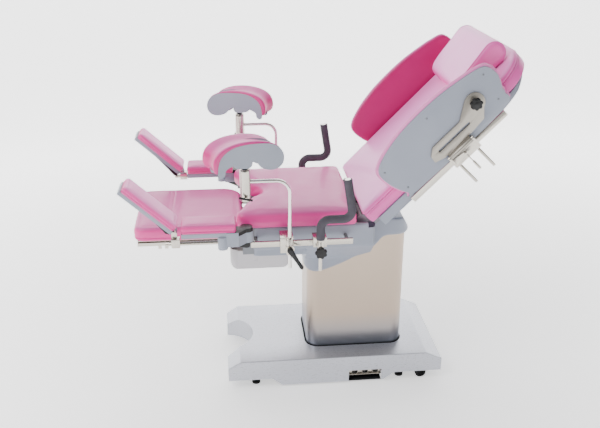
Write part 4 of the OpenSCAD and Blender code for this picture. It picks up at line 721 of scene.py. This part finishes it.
def catmull(points, steps, closed=True):
    """A smooth curve through points."""
    pts = [Vector(p) for p in points]
    n = len(pts)
    out = []
    for i in range(n if closed else n - 1):
        near = range(i - 1, i + 3)
        p0, p1, p2, p3 = (pts[k % n if closed else min(max(k, 0), n - 1)] for k in near)
        for k in range(steps):
            t = k / steps
            square = (2 * p0 - 5 * p1 + 4 * p2 - p3) * t * t
            cube = (3 * p1 - p0 - 3 * p2 + p3) * t * t * t
            out.append(tuple(0.5 * (2 * p1 + (p2 - p0) * t + square + cube)))
    if not closed:
        out.append(tuple(pts[-1]))
    return out


# Cushions
def make_seat():
    head, foot, half = -18, -519, 286
    mouth_x, notch_x, notch_r = foot + 67 * 0.59, foot + 44, 75
    outline = (
        arc(head - 16, -half + 16, 16, 270, 360, 6)
        + arc(head - 16, half - 16, 16, 0, 90, 6)
        + arc(foot + 34, half - 34, 34, 90, 170, 8)
        + [(mouth_x, half * 0.52)]
        + arc(notch_x, 0, notch_r, 69, -69, 16)
        + [(mouth_x, -half * 0.52)]
        + arc(foot + 34, -half + 34, 34, 190, 270, 8)
    )
    outline = resample(smooth_outline(resample(outline, 150), 1), 240)
    obj = cushion_mesh(
        "seat_pad", outline, (-250, 0), 802, 873, edge=17, crown=7, reach=120, seam=818, foot=4,
        seam_depth=2.5, bulge=2.0,
    )
    inflate(obj, 4, lambda co: co.z < 0.812)
    return piece(obj, "top", "pink_vinyl", "seat_cushion")


def make_back():
    outline = round_rect((27, -286), (918, 286), (16, 165, 165, 16), 14, 12)
    outline = resample(outline, 260)
    obj = cushion_mesh(
        "back_pad", outline, (470, 0), -20, 59, edge=16, crown=6, reach=150, seam=28, foot=4,
        place=BACK, seam_depth=8.0, bulge=2.0, material="pink_vinyl_back",
    )
    return piece(obj, "back", "pink_vinyl", "back_cushion")


def make_pillow():
    top, low, centre, r, lift, half = 59, 636, 845, 49, 3, 200
    profile = [(low + 6, top + 1), (low + 90, top + 1), (centre - r, top + 2)]
    profile += arc(centre, top + lift + r, r, 250, 455, 14)
    profile += [
        (centre - 60, top + 2 * r - 7), (low + 60, top + 78), (low + 20, top + 66), (low + 2, top + 46),
        (low, top + 20),
    ]
    profile = resample(smooth_outline(profile, 2), 110)
    normals = outline_normals(profile)
    # across the pillow: (y, inset), with the piping and its seam near each end
    levels = [
        (half - 1.0, 34), (half - 0.4, 24), (half - 1.0, 15), (half - 3.0, 8.5), (half - 5.0, 6.2),
        (half - 6.2, 4.0), (half - 6.4, 1.6), (half - 8.0, 0.0), (half - 10.0, -0.6),
        (half - 12.0, 0.2), (half - 14.5, 1.4), (half - 20.0, 1.0), (half - 34, 0.3),
    ]
    ys = list(levels)
    for k in range(1, 12):
        ys.append((half - 34 - (2 * half - 68) * k / 12, -0.8 * math.sin(math.pi * k / 12)))
    ys += [(-y, inset) for y, inset in reversed(levels)]
    middle = Vector((780, top + 48))
    verts = []
    for y, inset in ys:
        for p, nv in zip(profile, normals):
            q = Vector(p) - nv * inset
            verts.append((q.x, y, q.y))
    n = len(profile)
    faces = ring_faces(len(ys), n, capped=False)
    for ring, y in ((0, half - 0.6), (len(ys) - 1, -half + 0.6)):
        base = ring * n
        mid = len(verts)
        for j in range(n):
            v = verts[base + j]
            verts.append((v[0] + (middle.x - v[0]) * 0.5, y, v[2] + (middle.y - v[2]) * 0.5))
        centre_index = len(verts)
        verts.append((middle.x, y, middle.y))
        for j in range(n):
            k = (j + 1) % n
            faces.append((base + j, base + k, mid + k, mid + j))
            faces.append((mid + j, mid + k, centre_index))
    obj = new_object("head_roll", verts, faces, "pink_vinyl_back", BACK)
    return piece(obj, "back", "pink_vinyl", "head_pillow")


def make_aux_cushions():
    for name, low, high, radii in (
        ("pull_out_pad_foot", (-943, -224), (-783, 224), (42, 3, 3, 42)),
        ("pull_out_pad_head", (-799, -224), (-487, 224), (3, 90, 90, 3)),
    ):
        outline = resample(round_rect(low, high, radii, 10, 10), 190)
        middle = ((low[0] + high[0]) / 2, 0)
        obj = cushion_mesh(
            name, outline, middle, 735, 794, edge=16, crown=3, reach=60, seam=749, foot=3,
            seam_depth=2.0, bulge=1.2, shape=channel(outline, 26, 2.8, 3.2),
        )
        piece(obj, "pull_out_table", "pink_vinyl", "aux_cushions")


def make_leg_cushion(side, flip):
    outline = resample(round_rect((-736, 292), (-522, 402), (9, 9, 9, 9), 6, 10), 130)
    obj = cushion_mesh(
        "leg_pad_" + side, outline, (-629, 347), 838, 877, edge=11, crown=4, reach=40, seam=848,
        foot=3, place=flip, seam_depth=1.8, bulge=1.0, shape=channel(outline, 13, 1.6, 2.4),
    )
    return piece(obj, "leg_" + side, "pink_vinyl", "leg_cushion_" + side)


def make_foot_pad(side, flip):
    outline = resample(round_rect((-269, 285), (-13, 402), (12, 12, 12, 12), 7, 12), 150)
    obj = cushion_mesh(
        "foot_pad_" + side, outline, (-141, 343.5), 9, 41, edge=11, crown=4, reach=42, seam=17,
        foot=2, place=flip @ FOOT_PAD, seam_depth=1.6, bulge=1.0, material="pink_vinyl_pad",
        shape=channel(outline, 14, 2.4, 2.0),
    )
    piece(obj, "foot_pad_" + side, "pink_vinyl", "foot_cushion_" + side)
    shell = rounded_copy("foot_shell_" + side, 2.5, "cover_plastic")
    piece(shell, "foot_pad_" + side, "cover_plastic", "foot_shell_" + side)


def make_wing(side, flip):
    pad = cushion_mesh(
        "wing_pad_mesh_" + side, wing_outline(8), (495, 88), 0, 27, edge=12, crown=4, reach=70,
        foot=3, place=flip @ BACK @ facing_in(WING_PLANE), bulge=1.0,
        material="pink_vinyl_wing_" + side,
    )
    piece(pad, "wing_" + side, "pink_vinyl", "wing_pad_" + side)
    board = flip @ BACK @ facing_out(WING_PLANE)
    panel = slab_mesh(
        "wing_board_" + side, wing_outline(0), 0, 8, 2.0, "cover_plastic", board, 4, 0.4
    )
    profile = [(4.2, -0.5), (4.2, 0.9), (3.8, 1.7), (3.0, 2.2), (1.8, 2.4), (1.5, 1.2)]
    screws = []
    for px, pz in SCREW_SHARES:
        spot = Matrix.Translation((WING_X + px * WING_LENGTH, WING_Z + pz * WING_HEIGHT, 0))
        place = flip @ BACK @ facing_out(WING_PLANE + 8) @ spot
        screws.append(lathe("screw", profile, "frame_paint", place, 20))
    panel = joined("wing_board_set_" + side, [panel] + screws)
    piece(panel, "wing_" + side, "cover_plastic", "wing_panel_" + side)
    # The bracket takes the darker copy of the rail steel, as painted shade.
    bracket = rounded_copy("wing_bracket_" + side, 1.4, "bracket_steel_shaded")
    piece(bracket, "wing_" + side, "rail_steel", "wing_bracket_" + side)
    clamp = rounded_copy("wing_clamp_" + side, 1.0, "rail_steel")
    piece(clamp, "wing_clamp_" + side, "rail_steel", "wing_clamp_" + side)


def star_outline(r, lobes, depth=0.17, count=140):
    points = []
    for k in range(count):
        a = 2 * math.pi * k / count
        wave = 0.5 - 0.5 * math.cos(lobes * a)
        rr = r * (1 - depth * (1 - wave) ** 1.6)
        points.append((rr * math.cos(a), rr * math.sin(a)))
    return points


def make_knob(name, body, r, thick, stem, place):
    """A star knob whose local z points out from its seat; its body and CAD node share a name."""
    neck = 9
    top = stem + thick
    material = "black_plastic"
    star = slab_mesh("star", star_outline(r, 7), stem, top, 4.5, material, place, 5, 3.0)
    hub = lathe("hub", [(neck, 0), (neck, stem * 0.8), (neck * 1.5, stem + 1)], material, place, 32)
    profile = [
        (neck * 1.2, top - 1), (neck * 1.15, top + 0.4), (neck * 0.9, top + 1.0), (0.5, top + 1.2),
    ]
    cap = lathe("cap", profile, material, place, 32)
    piece(joined(name, [star, hub, cap]), body, material, body)


def make_knobs():
    for side, flip in SIDES:
        place = flip @ BACK @ facing_out(338.6) @ Matrix.Translation((655, 76, 0))
        make_knob("wing_star_" + side, "wing_knob_" + side, 25, 18, 10, place)
        place = flip @ facing_out(395.6) @ Matrix.Translation((GRIP_X, 737, 0))
        make_knob("grip_star_" + side, "grip_knob_" + side, 25, 16, 2, place)


def lever_outline(length, hub, tip):
    """A paddle that is waisted behind its hub and full towards its rounded tip."""
    flank = []
    for k in range(1, 9):
        t = k / 9
        w = hub * (1 - t) ** 2 + (tip * 0.98) * (1 - (1 - t) ** 2) - 1.2 * math.sin(math.pi * t)
        flank.append((length * t, w))
    points = arc(0, 0, hub, 90, 270, 12) + [(x, -w) for x, w in flank]
    points += arc(length, 0, tip, -90, 90, 12) + flank[::-1]
    return resample(points, 90)


def leg_paddle(name, place):
    """A lever hung from its deep hub, tapered to a thin rounded tip; its top is at local z 0."""
    hub, tip, length, deep, thin = 16.0, 7.0, 66.0, 30.0, 8.4
    outline = lever_outline(length, hub, tip)
    normals = outline_normals(outline)
    verts = []
    # (share of the depth, inset)
    rings = [(0.0, 1.5), (0.04, 0.0), (0.5, 0.0), (0.8, 0.6), (0.92, 2.2), (1.0, 5.0)]
    for share, inset in rings:
        for p, nv in zip(outline, normals):
            t = max(0.0, (p[0] - hub * 0.5) / (length + hub))
            depth = deep + (thin - deep) * t
            verts.append((p[0] - nv.x * inset, p[1] - nv.y * inset, -depth * share))
    faces = ring_faces(len(rings), len(outline))
    obj = new_object(name, verts, faces, "black_plastic", place)
    sharp_by_angle(obj, 50)
    return obj


def make_levers():
    for side, flip in SIDES:
        turn = Matrix.Rotation(math.radians(-59), 4, "Z")
        place = flip @ facing_out(403.6) @ Matrix.Translation((HOLDER_X, 757, 0)) @ turn
        paddle = slab_mesh(
            "paddle", lever_outline(88, 13, 8.4), 2, 20, 7.0, "black_plastic", place, 6, 6.0
        )
        hub = lathe("hub", [(10, 0), (10, 3), (12, 4)], "rail_steel", place, 32)
        obj = joined("holder_paddle_" + side, [paddle, hub])
        piece(obj, "holder_lever_" + side, "black_plastic", "holder_lever_" + side)
        turn = Matrix.Rotation(math.radians(156), 4, "Z")
        place = flip @ Matrix.Translation((HUB.x, LEG_HINGE_Y, 776.8)) @ turn
        obj = leg_paddle("leg_paddle_" + side, place)
        piece(obj, "leg_lever_" + side, "black_plastic", "leg_lever_" + side)


# Grips, holder rods and crutches
def make_grip(side, flip):
    """The hand grip: its top leans back, to the foot side of the corner."""
    foot, bend = 872, 131
    top = Vector((GRIP_X + bend - 27, GRIP_Y, 1040))
    corner = Vector((GRIP_X + bend, GRIP_Y, foot))
    path = [(GRIP_X, GRIP_Y, 786), (GRIP_X, GRIP_Y, foot), corner, top]
    foam = tube_mesh("foam", rounded_path(path, 36, 12), 17.5, "grip_foam", flip, 36)
    foam = bevelled(foam, 2.0, 2, 60)
    path = [(GRIP_X, GRIP_Y, 648), (GRIP_X, GRIP_Y, 800)]
    post = tube_mesh("post", path, 7, "rail_steel", flip)
    direction = (top - corner).normalized()
    path = [top - direction * 6, top + direction]
    plug = tube_mesh("plug", path, 12, "bright_steel", flip)
    collar = lathe(
        "collar", [(11, 0), (15, 1), (15, 7), (12, 9)], "rail_steel",
        flip @ Matrix.Translation((GRIP_X, GRIP_Y, 779)), 32,
    )
    obj = joined("hand_grip_" + side, [foam, post, plug, collar])
    piece(obj, "grip_" + side, "grip_foam", "grip_" + side)


def make_holder_rod(side, flip):
    x, y, stud_z = HOLDER_X, HUB.y, 988
    path = rounded_path([(x, y, 668), (x, y, 1047), (-470, y, 1047)], 52, 14)
    rod = tube_mesh("rod", path, 7.5, "bright_steel", flip, 32)
    rod = bevelled(rod, 1.0, 2, 60)
    place = flip @ Matrix.Translation((HUB.x, y, 0))
    profile = [
        (14, 967), (18.5, 968), (19.5, 970), (20, 985), (20.6, 1000), (21, 1010), (21, 1070),
        (21, 1090), (20.4, 1096), (18.6, 1100), (15, 1101),
    ]
    hub = lathe("hub", profile, "rail_steel", place, 48)
    profile = [(15.5, 1100.4), (15.5, 1101.2), (11.5, 1101.6), (11.2, 1099.0)]
    seat = lathe("seat", profile, "dark_plastic", place, 40)
    path = [(HUB.x, y + 10, stud_z), (HUB.x, y + 38, stud_z)]
    stud = tube_mesh("stud", path, 6, "rail_steel", flip, 24)
    path = [(HUB.x - 26, y + 36, stud_z + 6), (HUB.x + 26, y + 36, stud_z - 6)]
    bar = tube_mesh("bar", path, 4.5, "black_plastic", flip, 24)
    obj = joined("holder_arm_" + side, [rod, hub, seat, stud, bar])
    piece(obj, "holder_rod_" + side, "rail_steel", "holder_rod_" + side)


CRUTCH_TOP = [
    (-0.53, 0.1), (-0.562, 0.35), (-0.535, 0.62), (-0.45, 0.82), (-0.295, 0.95), (-0.116, 1.0),
    (0.075, 0.985), (0.243, 0.92), (0.377, 0.8), (0.455, 0.68), (0.48, 0.5), (0.475, 0.3),
]
CRUTCH_LOW = [
    (-0.44, 0.13), (-0.47, 0.32), (-0.44, 0.52), (-0.345, 0.69), (-0.22, 0.8), (-0.1, 0.845),
    (0.03, 0.85), (0.14, 0.825), (0.25, 0.775), (0.375, 0.7), (0.42, 0.5), (0.42, 0.3),
]
CRUTCH_SHELL = [
    (-0.474, 0.09), (-0.451, 0.45), (-0.369, 0.68), (-0.21, 0.82), (0.03, 0.84), (0.273, 0.78),
    (0.405, 0.65), (0.471, 0.46), (0.478, 0.25), (0.419, 0.1), (0.318, 0.07), (0.202, 0.145),
    (0.138, 0.27), (0.106, 0.4), (-0.007, 0.405), (-0.017, 0.29), (-0.058, 0.24), (-0.218, 0.3),
    (-0.264, 0.4), (-0.408, 0.27), (-0.435, 0.09),
]


def make_crutch(side, place):
    length, rise, base, half = 268, 124, HUB.z, 61
    edge = 9.0
    count = 49

    def points(shares):
        return [(x * length, base + z * rise) for x, z in shares]

    def curve(shares):
        even = resample(catmull(points(shares), 10, closed=False), count, closed=False)
        return [Vector(p) for p in even]

    top, low = curve(CRUTCH_TOP), curve(CRUTCH_LOW)
    # across the pad: (offset, share from the low curve to the top curve, drop below the top)
    corner = [
        (edge * (1 - math.cos(math.pi / 2 * t)), edge * (1 - math.sin(math.pi / 2 * t)))
        for t in [k / 6 for k in range(7)]
    ]
    section = [(-half + offset, 1.0, drop) for offset, drop in corner]
    for k in range(1, 16):
        t = k / 16
        v = -half + edge + (2 * half - 2 * edge) * t
        section.append((v, 1.0, 13.0 * math.sin(math.pi * t) ** 1.5))
    section += [(half - offset, 1.0, drop) for offset, drop in reversed(corner)]
    section += [
        (half, 0.15, 0.0), (half - 5, 0.02, 0.0), (half * 0.4, 0.0, 0.0), (0.0, 0.0, 0.0),
        (-half * 0.5, 0.0, 0.0), (-half + 3, 0.0, 0.0), (-half, 0.1, 0.0),
    ]
    verts = []
    for i in range(count):
        t = i / (count - 1)
        taper = math.sqrt(max(0.0, 1 - (max(0.0, abs(2 * t - 1) - 0.93) / 0.075) ** 2))
        across = top[i] - low[i]
        n = across / across.length
        middle = low[i] + across * 0.5
        for v, share, drop in section:
            p = low[i] + across * share - n * drop
            p = middle + (p - middle) * (0.45 + 0.55 * taper)
            verts.append((p.x, v * (0.93 + 0.07 * taper), p.y))
    faces = ring_faces(count, len(section))
    pad = new_object("knee_pad_" + side, verts, faces, "pink_vinyl_knee", place)
    divide = pad.modifiers.new("round", "SUBSURF")
    divide.levels = 1
    apply_modifiers(pad)
    shade_smooth(pad.data)
    piece(pad, "crutch_" + side, "pink_vinyl", "crutch_cushion_" + side)
    outline = resample(catmull(points(CRUTCH_SHELL), 5), 200)
    shell = slab_mesh("shell", outline, 0, 74, edge, "cover_plastic", place @ facing_out(-61.6), 7)
    profile = [(9.8, 1043), (9.8, 1103), (13, 1104), (13, 1152)]
    post = lathe("post", profile, "dark_plastic", place)
    obj = joined("knee_shell_" + side, [shell, post])
    piece(obj, "crutch_" + side, "cover_plastic", "crutch_shell_" + side)


# Hull and shells
BOX_FACES = ((0, 1, 3, 2), (4, 6, 7, 5), (0, 4, 5, 1), (2, 3, 7, 6), (0, 2, 6, 4), (1, 5, 7, 3))


def block_into(bm, low, high):
    verts = [
        bm.verts.new((x, y, z))
        for x in (low[0], high[0])
        for y in (low[1], high[1])
        for z in (low[2], high[2])
    ]
    for f in BOX_FACES:
        bm.faces.new([verts[i] for i in f])


def prism_into(bm, outline, low, high, axis="z"):
    """Closed prism over an outline. Axis y: outline is x and z. Axis x: outline is y and z."""
    make = {
        "z": lambda p, h: (p[0], p[1], h),
        "y": lambda p, h: (p[0], h, p[1]),
        "x": lambda p, h: (h, p[0], p[1]),
    }[axis]
    a = [bm.verts.new(make(p, low)) for p in outline]
    b = [bm.verts.new(make(p, high)) for p in outline]
    n = len(outline)
    for i in range(n):
        k = (i + 1) % n
        bm.faces.new((a[i], a[k], b[k], b[i]))
    bm.faces.new(list(reversed(a)))
    bm.faces.new(b)


def solid(name, material, *shape):
    """A block of two corners, or a prism of an outline, its two ends and its axis, in mm."""
    bm = bmesh.new()
    if len(shape) == 2:
        block_into(bm, *shape)
    else:
        prism_into(bm, *shape)
    for vert in bm.verts:
        vert.co *= MM
    bmesh.ops.recalc_face_normals(bm, faces=bm.faces)
    mesh = bpy.data.meshes.new(name)
    bm.to_mesh(mesh)
    bm.free()
    mesh.materials.append(MAT[material])
    return linked(name, mesh)


def boolean(obj, other, operation="DIFFERENCE"):
    mod = obj.modifiers.new("bool", "BOOLEAN")
    mod.operation = operation
    mod.object = other
    mod.solver = "EXACT"
    apply_modifiers(obj)
    removed(other)


def cut(obj, *shape):
    boolean(obj, solid("tool", "cover_plastic", *shape))


COLLAR_SHARES = [
    (-1.02, 0.12), (-0.96, 0.04), (-0.86, 0), (-0.75, 0.01), (-0.55, 0.1), (-0.3, 0.24),
    (0.02, 0.46), (0.3, 0.68), (0.4, 0.84), (0.46, 0.95), (0.54, 0.99), (0.9, 1), (1.02, 1.07),
]


def circle_points(x, z, r, count):
    turn = 2 * math.pi / count
    return [(x + r * math.cos(k * turn), z + r * math.sin(k * turn)) for k in range(count)]


def make_hull():
    half = 233
    foot, head = COLUMN_X - half, COLUMN_X + half
    side = [(COLUMN_X + x * half, 525 + z * 167) for x, z in COLLAR_SHARES]
    side += [(head + 1, 704), (head - 48, 797), (foot - 20, 797)]
    tub = round_rect((-454, -262), (62, 262), (20, 14, 14, 20), 6, 4)
    low = round_rect((-454, -205), (foot + 6, 205), (20, 4, 4, 20), 6, 4)
    neck = round_rect((foot, -165), (head, 165), (66,) * 4, 12, 4)
    funnel = [(165, 600), (262, 694), (-262, 694), (-165, 600)]
    material = "cover_plastic"
    outer = solid("hull_skin", material, tub, 690, 797)
    boolean(outer, solid("tool", material, low, 635, 700), "UNION")
    collar = solid("collar", material, neck, 520, 771)
    boolean(collar, solid("tool", material, funnel, foot, 62, "x"), "UNION")
    boolean(collar, solid("tool", material, side, -300, 300, "y"), "INTERSECT")
    boolean(outer, collar, "UNION")
    mod = outer.modifiers.new("even", "REMESH")
    mod.mode = "VOXEL"
    mod.voxel_size = 0.005
    mod = outer.modifiers.new("soft", "SMOOTH")
    mod.factor = 0.5
    mod.iterations = 16
    apply_modifiers(outer)
    # the hollow above, the way for the back and its pillow, the basin's bay, the column's well
    cut(outer, (-480, -250, 700), (52, 250, 805))
    cut(outer, (32, -300, 777), (80, 300, 810))
    cut(outer, (50, -246, 739), (80, 246, 812))
    cut(outer, (-480, -196, 600), (foot - 8, 196, 720))
    cut(outer, round_rect((foot + 11, -153), (head - 11, 153), (56,) * 4, 12, 4), 500, 700)
    only_material(outer.data, material)
    sharp_by_angle(outer, 40)
    piece(outer, "top", material, "hull_cover")


def make_leg_arm(side):
    """The CAD arm with rounded edges; its hinge block above the housing is painted black, as painted
    shade for the dark gap above the housing.
    """
    housing_top, block_x = 0.822, -0.5235
    arm = rounded_copy("leg_arm_" + side, 4.0, "cover_plastic")
    bm = bmesh.new()
    bm.from_mesh(arm.data)
    bmesh.ops.bisect_plane(
        bm, geom=bm.verts[:] + bm.edges[:] + bm.faces[:], dist=1e-6,
        plane_co=(0, 0, housing_top), plane_no=(0, 0, 1),
    )
    # Painted shade: faces of the hinge block above the housing get black plastic, standing for the dark
    # gap there.
    arm.data.materials.append(MAT["black_plastic"])
    for face in bm.faces:
        middle = face.calc_center_median()
        if middle.z > housing_top and middle.x > block_x:
            face.material_index = 1
    bm.to_mesh(arm.data)
    bm.free()
    piece(arm, "leg_" + side, "cover_plastic", "leg_arm_" + side)


def make_pad_rest(side, flip):
    """The black wedge under a foot pad, thickest at its hinge."""
    wedge = [(-176, -6), (-16, -6), (-10, -18), (-24, -25), (-60, -19)]
    obj = solid("pad_rest_" + side, "black_plastic", wedge, 296, 374, "y")
    bevelled(obj, 1.2, 2, 20)
    place = flip @ FOOT_PAD
    place.translation *= MM
    obj.data.transform(place)
    if side == "near":
        obj.data.flip_normals()
    piece(obj, "foot_pad_" + side, "black_plastic")


def well(half_x, half_y, r):
    """A rounded rectangle round the column."""
    return round_rect((COLUMN_X - half_x, -half_y), (COLUMN_X + half_x, half_y), (r,) * 4, 14, 1)


def make_base_cover():
    """The sheet cover of the base: hollow below, with the foot notch and the socket recess."""
    side = [
        (-576, 43), (-380, 43), (-334, 8), (131, 8), (177, 43), (397, 43), (397, 105), (323, 140),
        (-521, 140), (-576, 105),
    ]
    inside = [(-573, -5), (394, -5), (394, 102), (321, 137), (-519, 137), (-573, 102)]
    base = solid("base_skin", "base_sheet", side, -255, 255, "y")
    bevelled(base, 3.5, 3, 15)
    hollow = solid("hollow", "base_sheet", inside, -252, 252, "y")
    cut(hollow, circle_points(-597, 0, 145, 160), -20, 160)
    boolean(base, hollow)
    cut(base, circle_points(-597, 0, 142, 160), -20, 160)
    cut(base, well(225.6, 155.6, 61.6), 105, 160)
    cut(base, (-31, -260, 0), (119, -204, 66))
    only_material(base.data, "base_sheet")
    sharp_by_angle(base, 28)
    piece(base, "base", "base_sheet", "base_cover")


def make_sockets():
    """Three black sockets in bright frames on the panel; the dark tray under them and the black sheet
    behind it are painted shade for the recess.
    """
    parts = []
    for name, material, low, high in (
        ("panel", "rail_steel", (-31, -241, 40), (119, -238, 66)),
        ("shelf", "rail_steel", (-31, -250, 39), (119, -238, 41)),
        ("top", "dark_plastic", (-33, -251, 66.3), (121, -238, 69)),
        # Painted shade: the tray and the back sheet are dark to stand for the shade inside the recess.
        ("tray", "dark_steel", (-31, -250, 8), (119, -222, 10)),
        ("back", "black_plastic", (-31, -222, 8), (119, -220.5, 44)),
    ):
        parts.append(bevelled(solid(name, material, low, high), 0.5))

    def frame_part(name, material, x, outer, inner):
        """A block with a hole; each is half its width, half its height, and its two y planes."""
        z = 53.2
        (w, h, y0, y1), (v, g, u0, u1) = outer, inner
        part = solid(name, material, (x - w, y0, z - h), (x + w, y1, z + h))
        cut(part, (x - v, u0, z - g), (x + v, u1, z + g))
        only_material(part.data, material)
        parts.append(part)

    for k in (-1, 0, 1):
        x = 44 + k * SOCKET_SPACING
        frame_part("socket", "rubber", x, (13, 7, -248, -224), (10.4, 4.8, -249, -226))
        frame_part("rim", "rail_steel", x, (13.8, 7.7, -247.6, -240), (13, 7, -250, -230))
    obj = joined("socket_set", parts)
    piece(obj, "base", "dark_plastic", "socket_panel")


def make_gasket():
    """The seal in the gap round the column, seen from above as a thin dark line."""
    seal = solid("seal", "rubber", well(225.4, 155.4, 61.4), 128, 140.6)
    cut(seal, well(219.8, 149.8, 55.8), 120, 150)
    only_material(seal.data, "rubber")
    sharp_by_angle(seal, 28)
    piece(seal, "base", "rubber", "column_gasket")


# The rest: CAD parts that are rounded or only given a material
DRESSED = {
    "base_frame": "dark_steel", "inner_column": "satin_steel", "column_gasket": "rubber",
    "lift_actuator": "dark_steel", "socket_panel": "dark_plastic", "levelling_feet": "rubber",
    "wheel_set": "rubber", "column_shroud": "satin_steel", "table_frame": "frame_paint",
    "lift_rod": "rail_steel", "back_gearmotor": "dark_steel", "back_frame": "frame_paint",
    "aux_table": "rail_steel", "base_cover": "base_sheet", "seat_rails": "rail_steel",
    "grip_clamps": "rail_steel", "back_rails": "rail_steel", "back_shell": "cover_plastic",
    "basin": "basin_plastic", "leg_arm_near": "cover_plastic", "leg_arm_far": "cover_plastic",
    "foot_bar_near": "rail_steel", "foot_bar_far": "rail_steel",
    "holder_clamp_near": "rail_steel", "holder_clamp_far": "rail_steel",
}
# node: its body, the radius of its edges, its material
ROUNDED = {
    "seat_rails": ("top", 1.5, "rail_steel"),
    "grip_clamps": ("top", 1.5, "rail_steel"),
    "back_rails": ("back", 1.5, "rail_steel"),
    "back_shell": ("back", 5.0, "cover_plastic"),
    "basin": ("basin", 1.2, "basin_plastic"),
    "foot_bar_near": ("foot_bar_near", 1.2, "rail_steel"),
    "foot_bar_far": ("foot_bar_far", 1.2, "rail_steel"),
    "holder_clamp_near": ("holder_clamp_near", 1.6, "rail_steel"),
    "holder_clamp_far": ("holder_clamp_far", 1.6, "rail_steel"),
}


def dress():
    for name, material in DRESSED.items():
        only_material(NODES[name].data, material)
    for name, (body, bevel, material) in ROUNDED.items():
        piece(rounded_copy(name, bevel, material), body, material, name)


# Stage, light and camera
def make_stage():
    floor_mat = bpy.data.materials.new("floor")
    floor_mat.use_nodes = True
    shader = floor_mat.node_tree.nodes["Principled BSDF"]
    shader.inputs["Base Color"].default_value = (0.95, 0.95, 0.95, 1)
    shader.inputs["Roughness"].default_value = 0.8
    shader.inputs["Specular IOR Level"].default_value = 0.15
    shader.inputs["Emission Color"].default_value = (1.0, 1.0, 1.0, 1)
    tree = floor_mat.node_tree
    reach = tree.nodes.new("ShaderNodeVectorMath")
    reach.operation = "LENGTH"
    tree.links.new(tree.nodes.new("ShaderNodeTexCoord").outputs["Object"], reach.inputs[0])
    glow = tree.nodes.new("ShaderNodeMapRange")
    for key, value in (("From Min", 0.6), ("From Max", 3.5), ("To Min", 0.9), ("To Max", 2.4)):
        glow.inputs[key].default_value = value
    tree.links.new(reach.outputs["Value"], glow.inputs["Value"])
    tree.links.new(glow.outputs["Result"], shader.inputs["Emission Strength"])
    bm = bmesh.new()
    rows = []
    # the floor runs level behind the table and then bends up into a wall: (y, z) in metres
    bend_start, bend = 3.2, 1.8
    profile = [(-9.0, 0.0), (2.0, 0.0), (bend_start, 0.0)]
    for k in range(1, 13):
        a = math.pi / 2 * k / 12
        profile.append((bend_start + bend * math.sin(a), bend * (1 - math.cos(a))))
    profile.append((bend_start + bend, 7.0))
    for y, z in profile:
        rows.append([bm.verts.new((x, y, z)) for x in (-12.0, 12.0)])
    for a, b in zip(rows, rows[1:]):
        bm.faces.new((a[0], a[1], b[1], b[0]))
    mesh = bpy.data.meshes.new("floor")
    bm.to_mesh(mesh)
    bm.free()
    mesh.materials.append(floor_mat)
    shade_smooth(mesh)
    floor = linked("floor", mesh)


def area_light(name, place, target, size, power):
    data = bpy.data.lights.new(name, "AREA")
    data.shape = "RECTANGLE"
    data.size, data.size_y = size
    data.energy = power
    obj = linked(name, data)
    obj.location = place
    obj.rotation_euler = (Vector(target) - Vector(place)).to_track_quat("-Z", "Y").to_euler()


def make_lights():
    world = bpy.data.worlds.new("world")
    scene.world = world
    world.use_nodes = True
    tree = world.node_tree
    back = tree.nodes["Background"]
    split = tree.nodes.new("ShaderNodeSeparateXYZ")
    tree.links.new(tree.nodes.new("ShaderNodeTexCoord").outputs["Generated"], split.inputs["Vector"])
    ramp = tree.nodes.new("ShaderNodeValToRGB")
    ramp.color_ramp.elements[0].position = 0.0
    ramp.color_ramp.elements[0].color = (0.3, 0.3, 0.32, 1)
    ramp.color_ramp.elements[1].position = 0.75
    ramp.color_ramp.elements[1].color = (1.0, 1.0, 1.0, 1)
    tree.links.new(split.outputs["Z"], ramp.inputs["Fac"])
    tree.links.new(ramp.outputs["Color"], back.inputs["Color"])
    back.inputs["Strength"].default_value = 0.3
    area_light("key", (-2.4, -1.5, 3.2), (-0.1, 0, 0.7), (2.0, 2.0), 92)
    area_light("fill", (2.6, -3.4, 1.6), (0.1, 0, 0.6), (2.4, 1.6), 10)
    area_light("top", (0.3, 0.8, 3.6), (0, 0, 0.6), (3.0, 2.4), 26)


# The camera of the photo, worked out from it: place in mm, focal length in its pixels, degrees
CAMERA_PLACE = (-543.8, -3212.3, 2103.3)
FOCAL_PIXELS, PHOTO_WIDTH = 782.1, 600.0
YAW, PITCH, ROLL = math.radians(5.574), math.radians(22.917), math.radians(0.055)


def make_camera():
    data = bpy.data.cameras.new("camera")
    data.sensor_fit = "HORIZONTAL"
    data.sensor_width = 36.0
    data.lens = data.sensor_width * FOCAL_PIXELS / PHOTO_WIDTH
    data.clip_end = 60
    camera = linked("camera", data)
    camera.location = Vector(CAMERA_PLACE) * MM
    forward = Vector(
        (math.sin(YAW) * math.cos(PITCH), math.cos(YAW) * math.cos(PITCH), -math.sin(PITCH))
    )
    turn = forward.to_track_quat("-Z", "Y").to_matrix() @ Matrix.Rotation(ROLL, 3, "Z")
    camera.rotation_euler = turn.to_euler()
    scene.camera = camera


# Build
dress()
make_hull()
make_base_cover()
make_sockets()
make_gasket()
make_seat()
make_back()
make_pillow()
make_aux_cushions()
for side, flip in SIDES:
    make_leg_cushion(side, flip)
    make_foot_pad(side, flip)
    make_pad_rest(side, flip)
    make_leg_arm(side)
    make_wing(side, flip)
    make_grip(side, flip)
    make_holder_rod(side, flip)
make_crutch("near", NEAR_CRUTCH)
make_crutch("far", FAR_CRUTCH)
make_knobs()
make_levers()
make_stage()
make_lights()
make_camera()

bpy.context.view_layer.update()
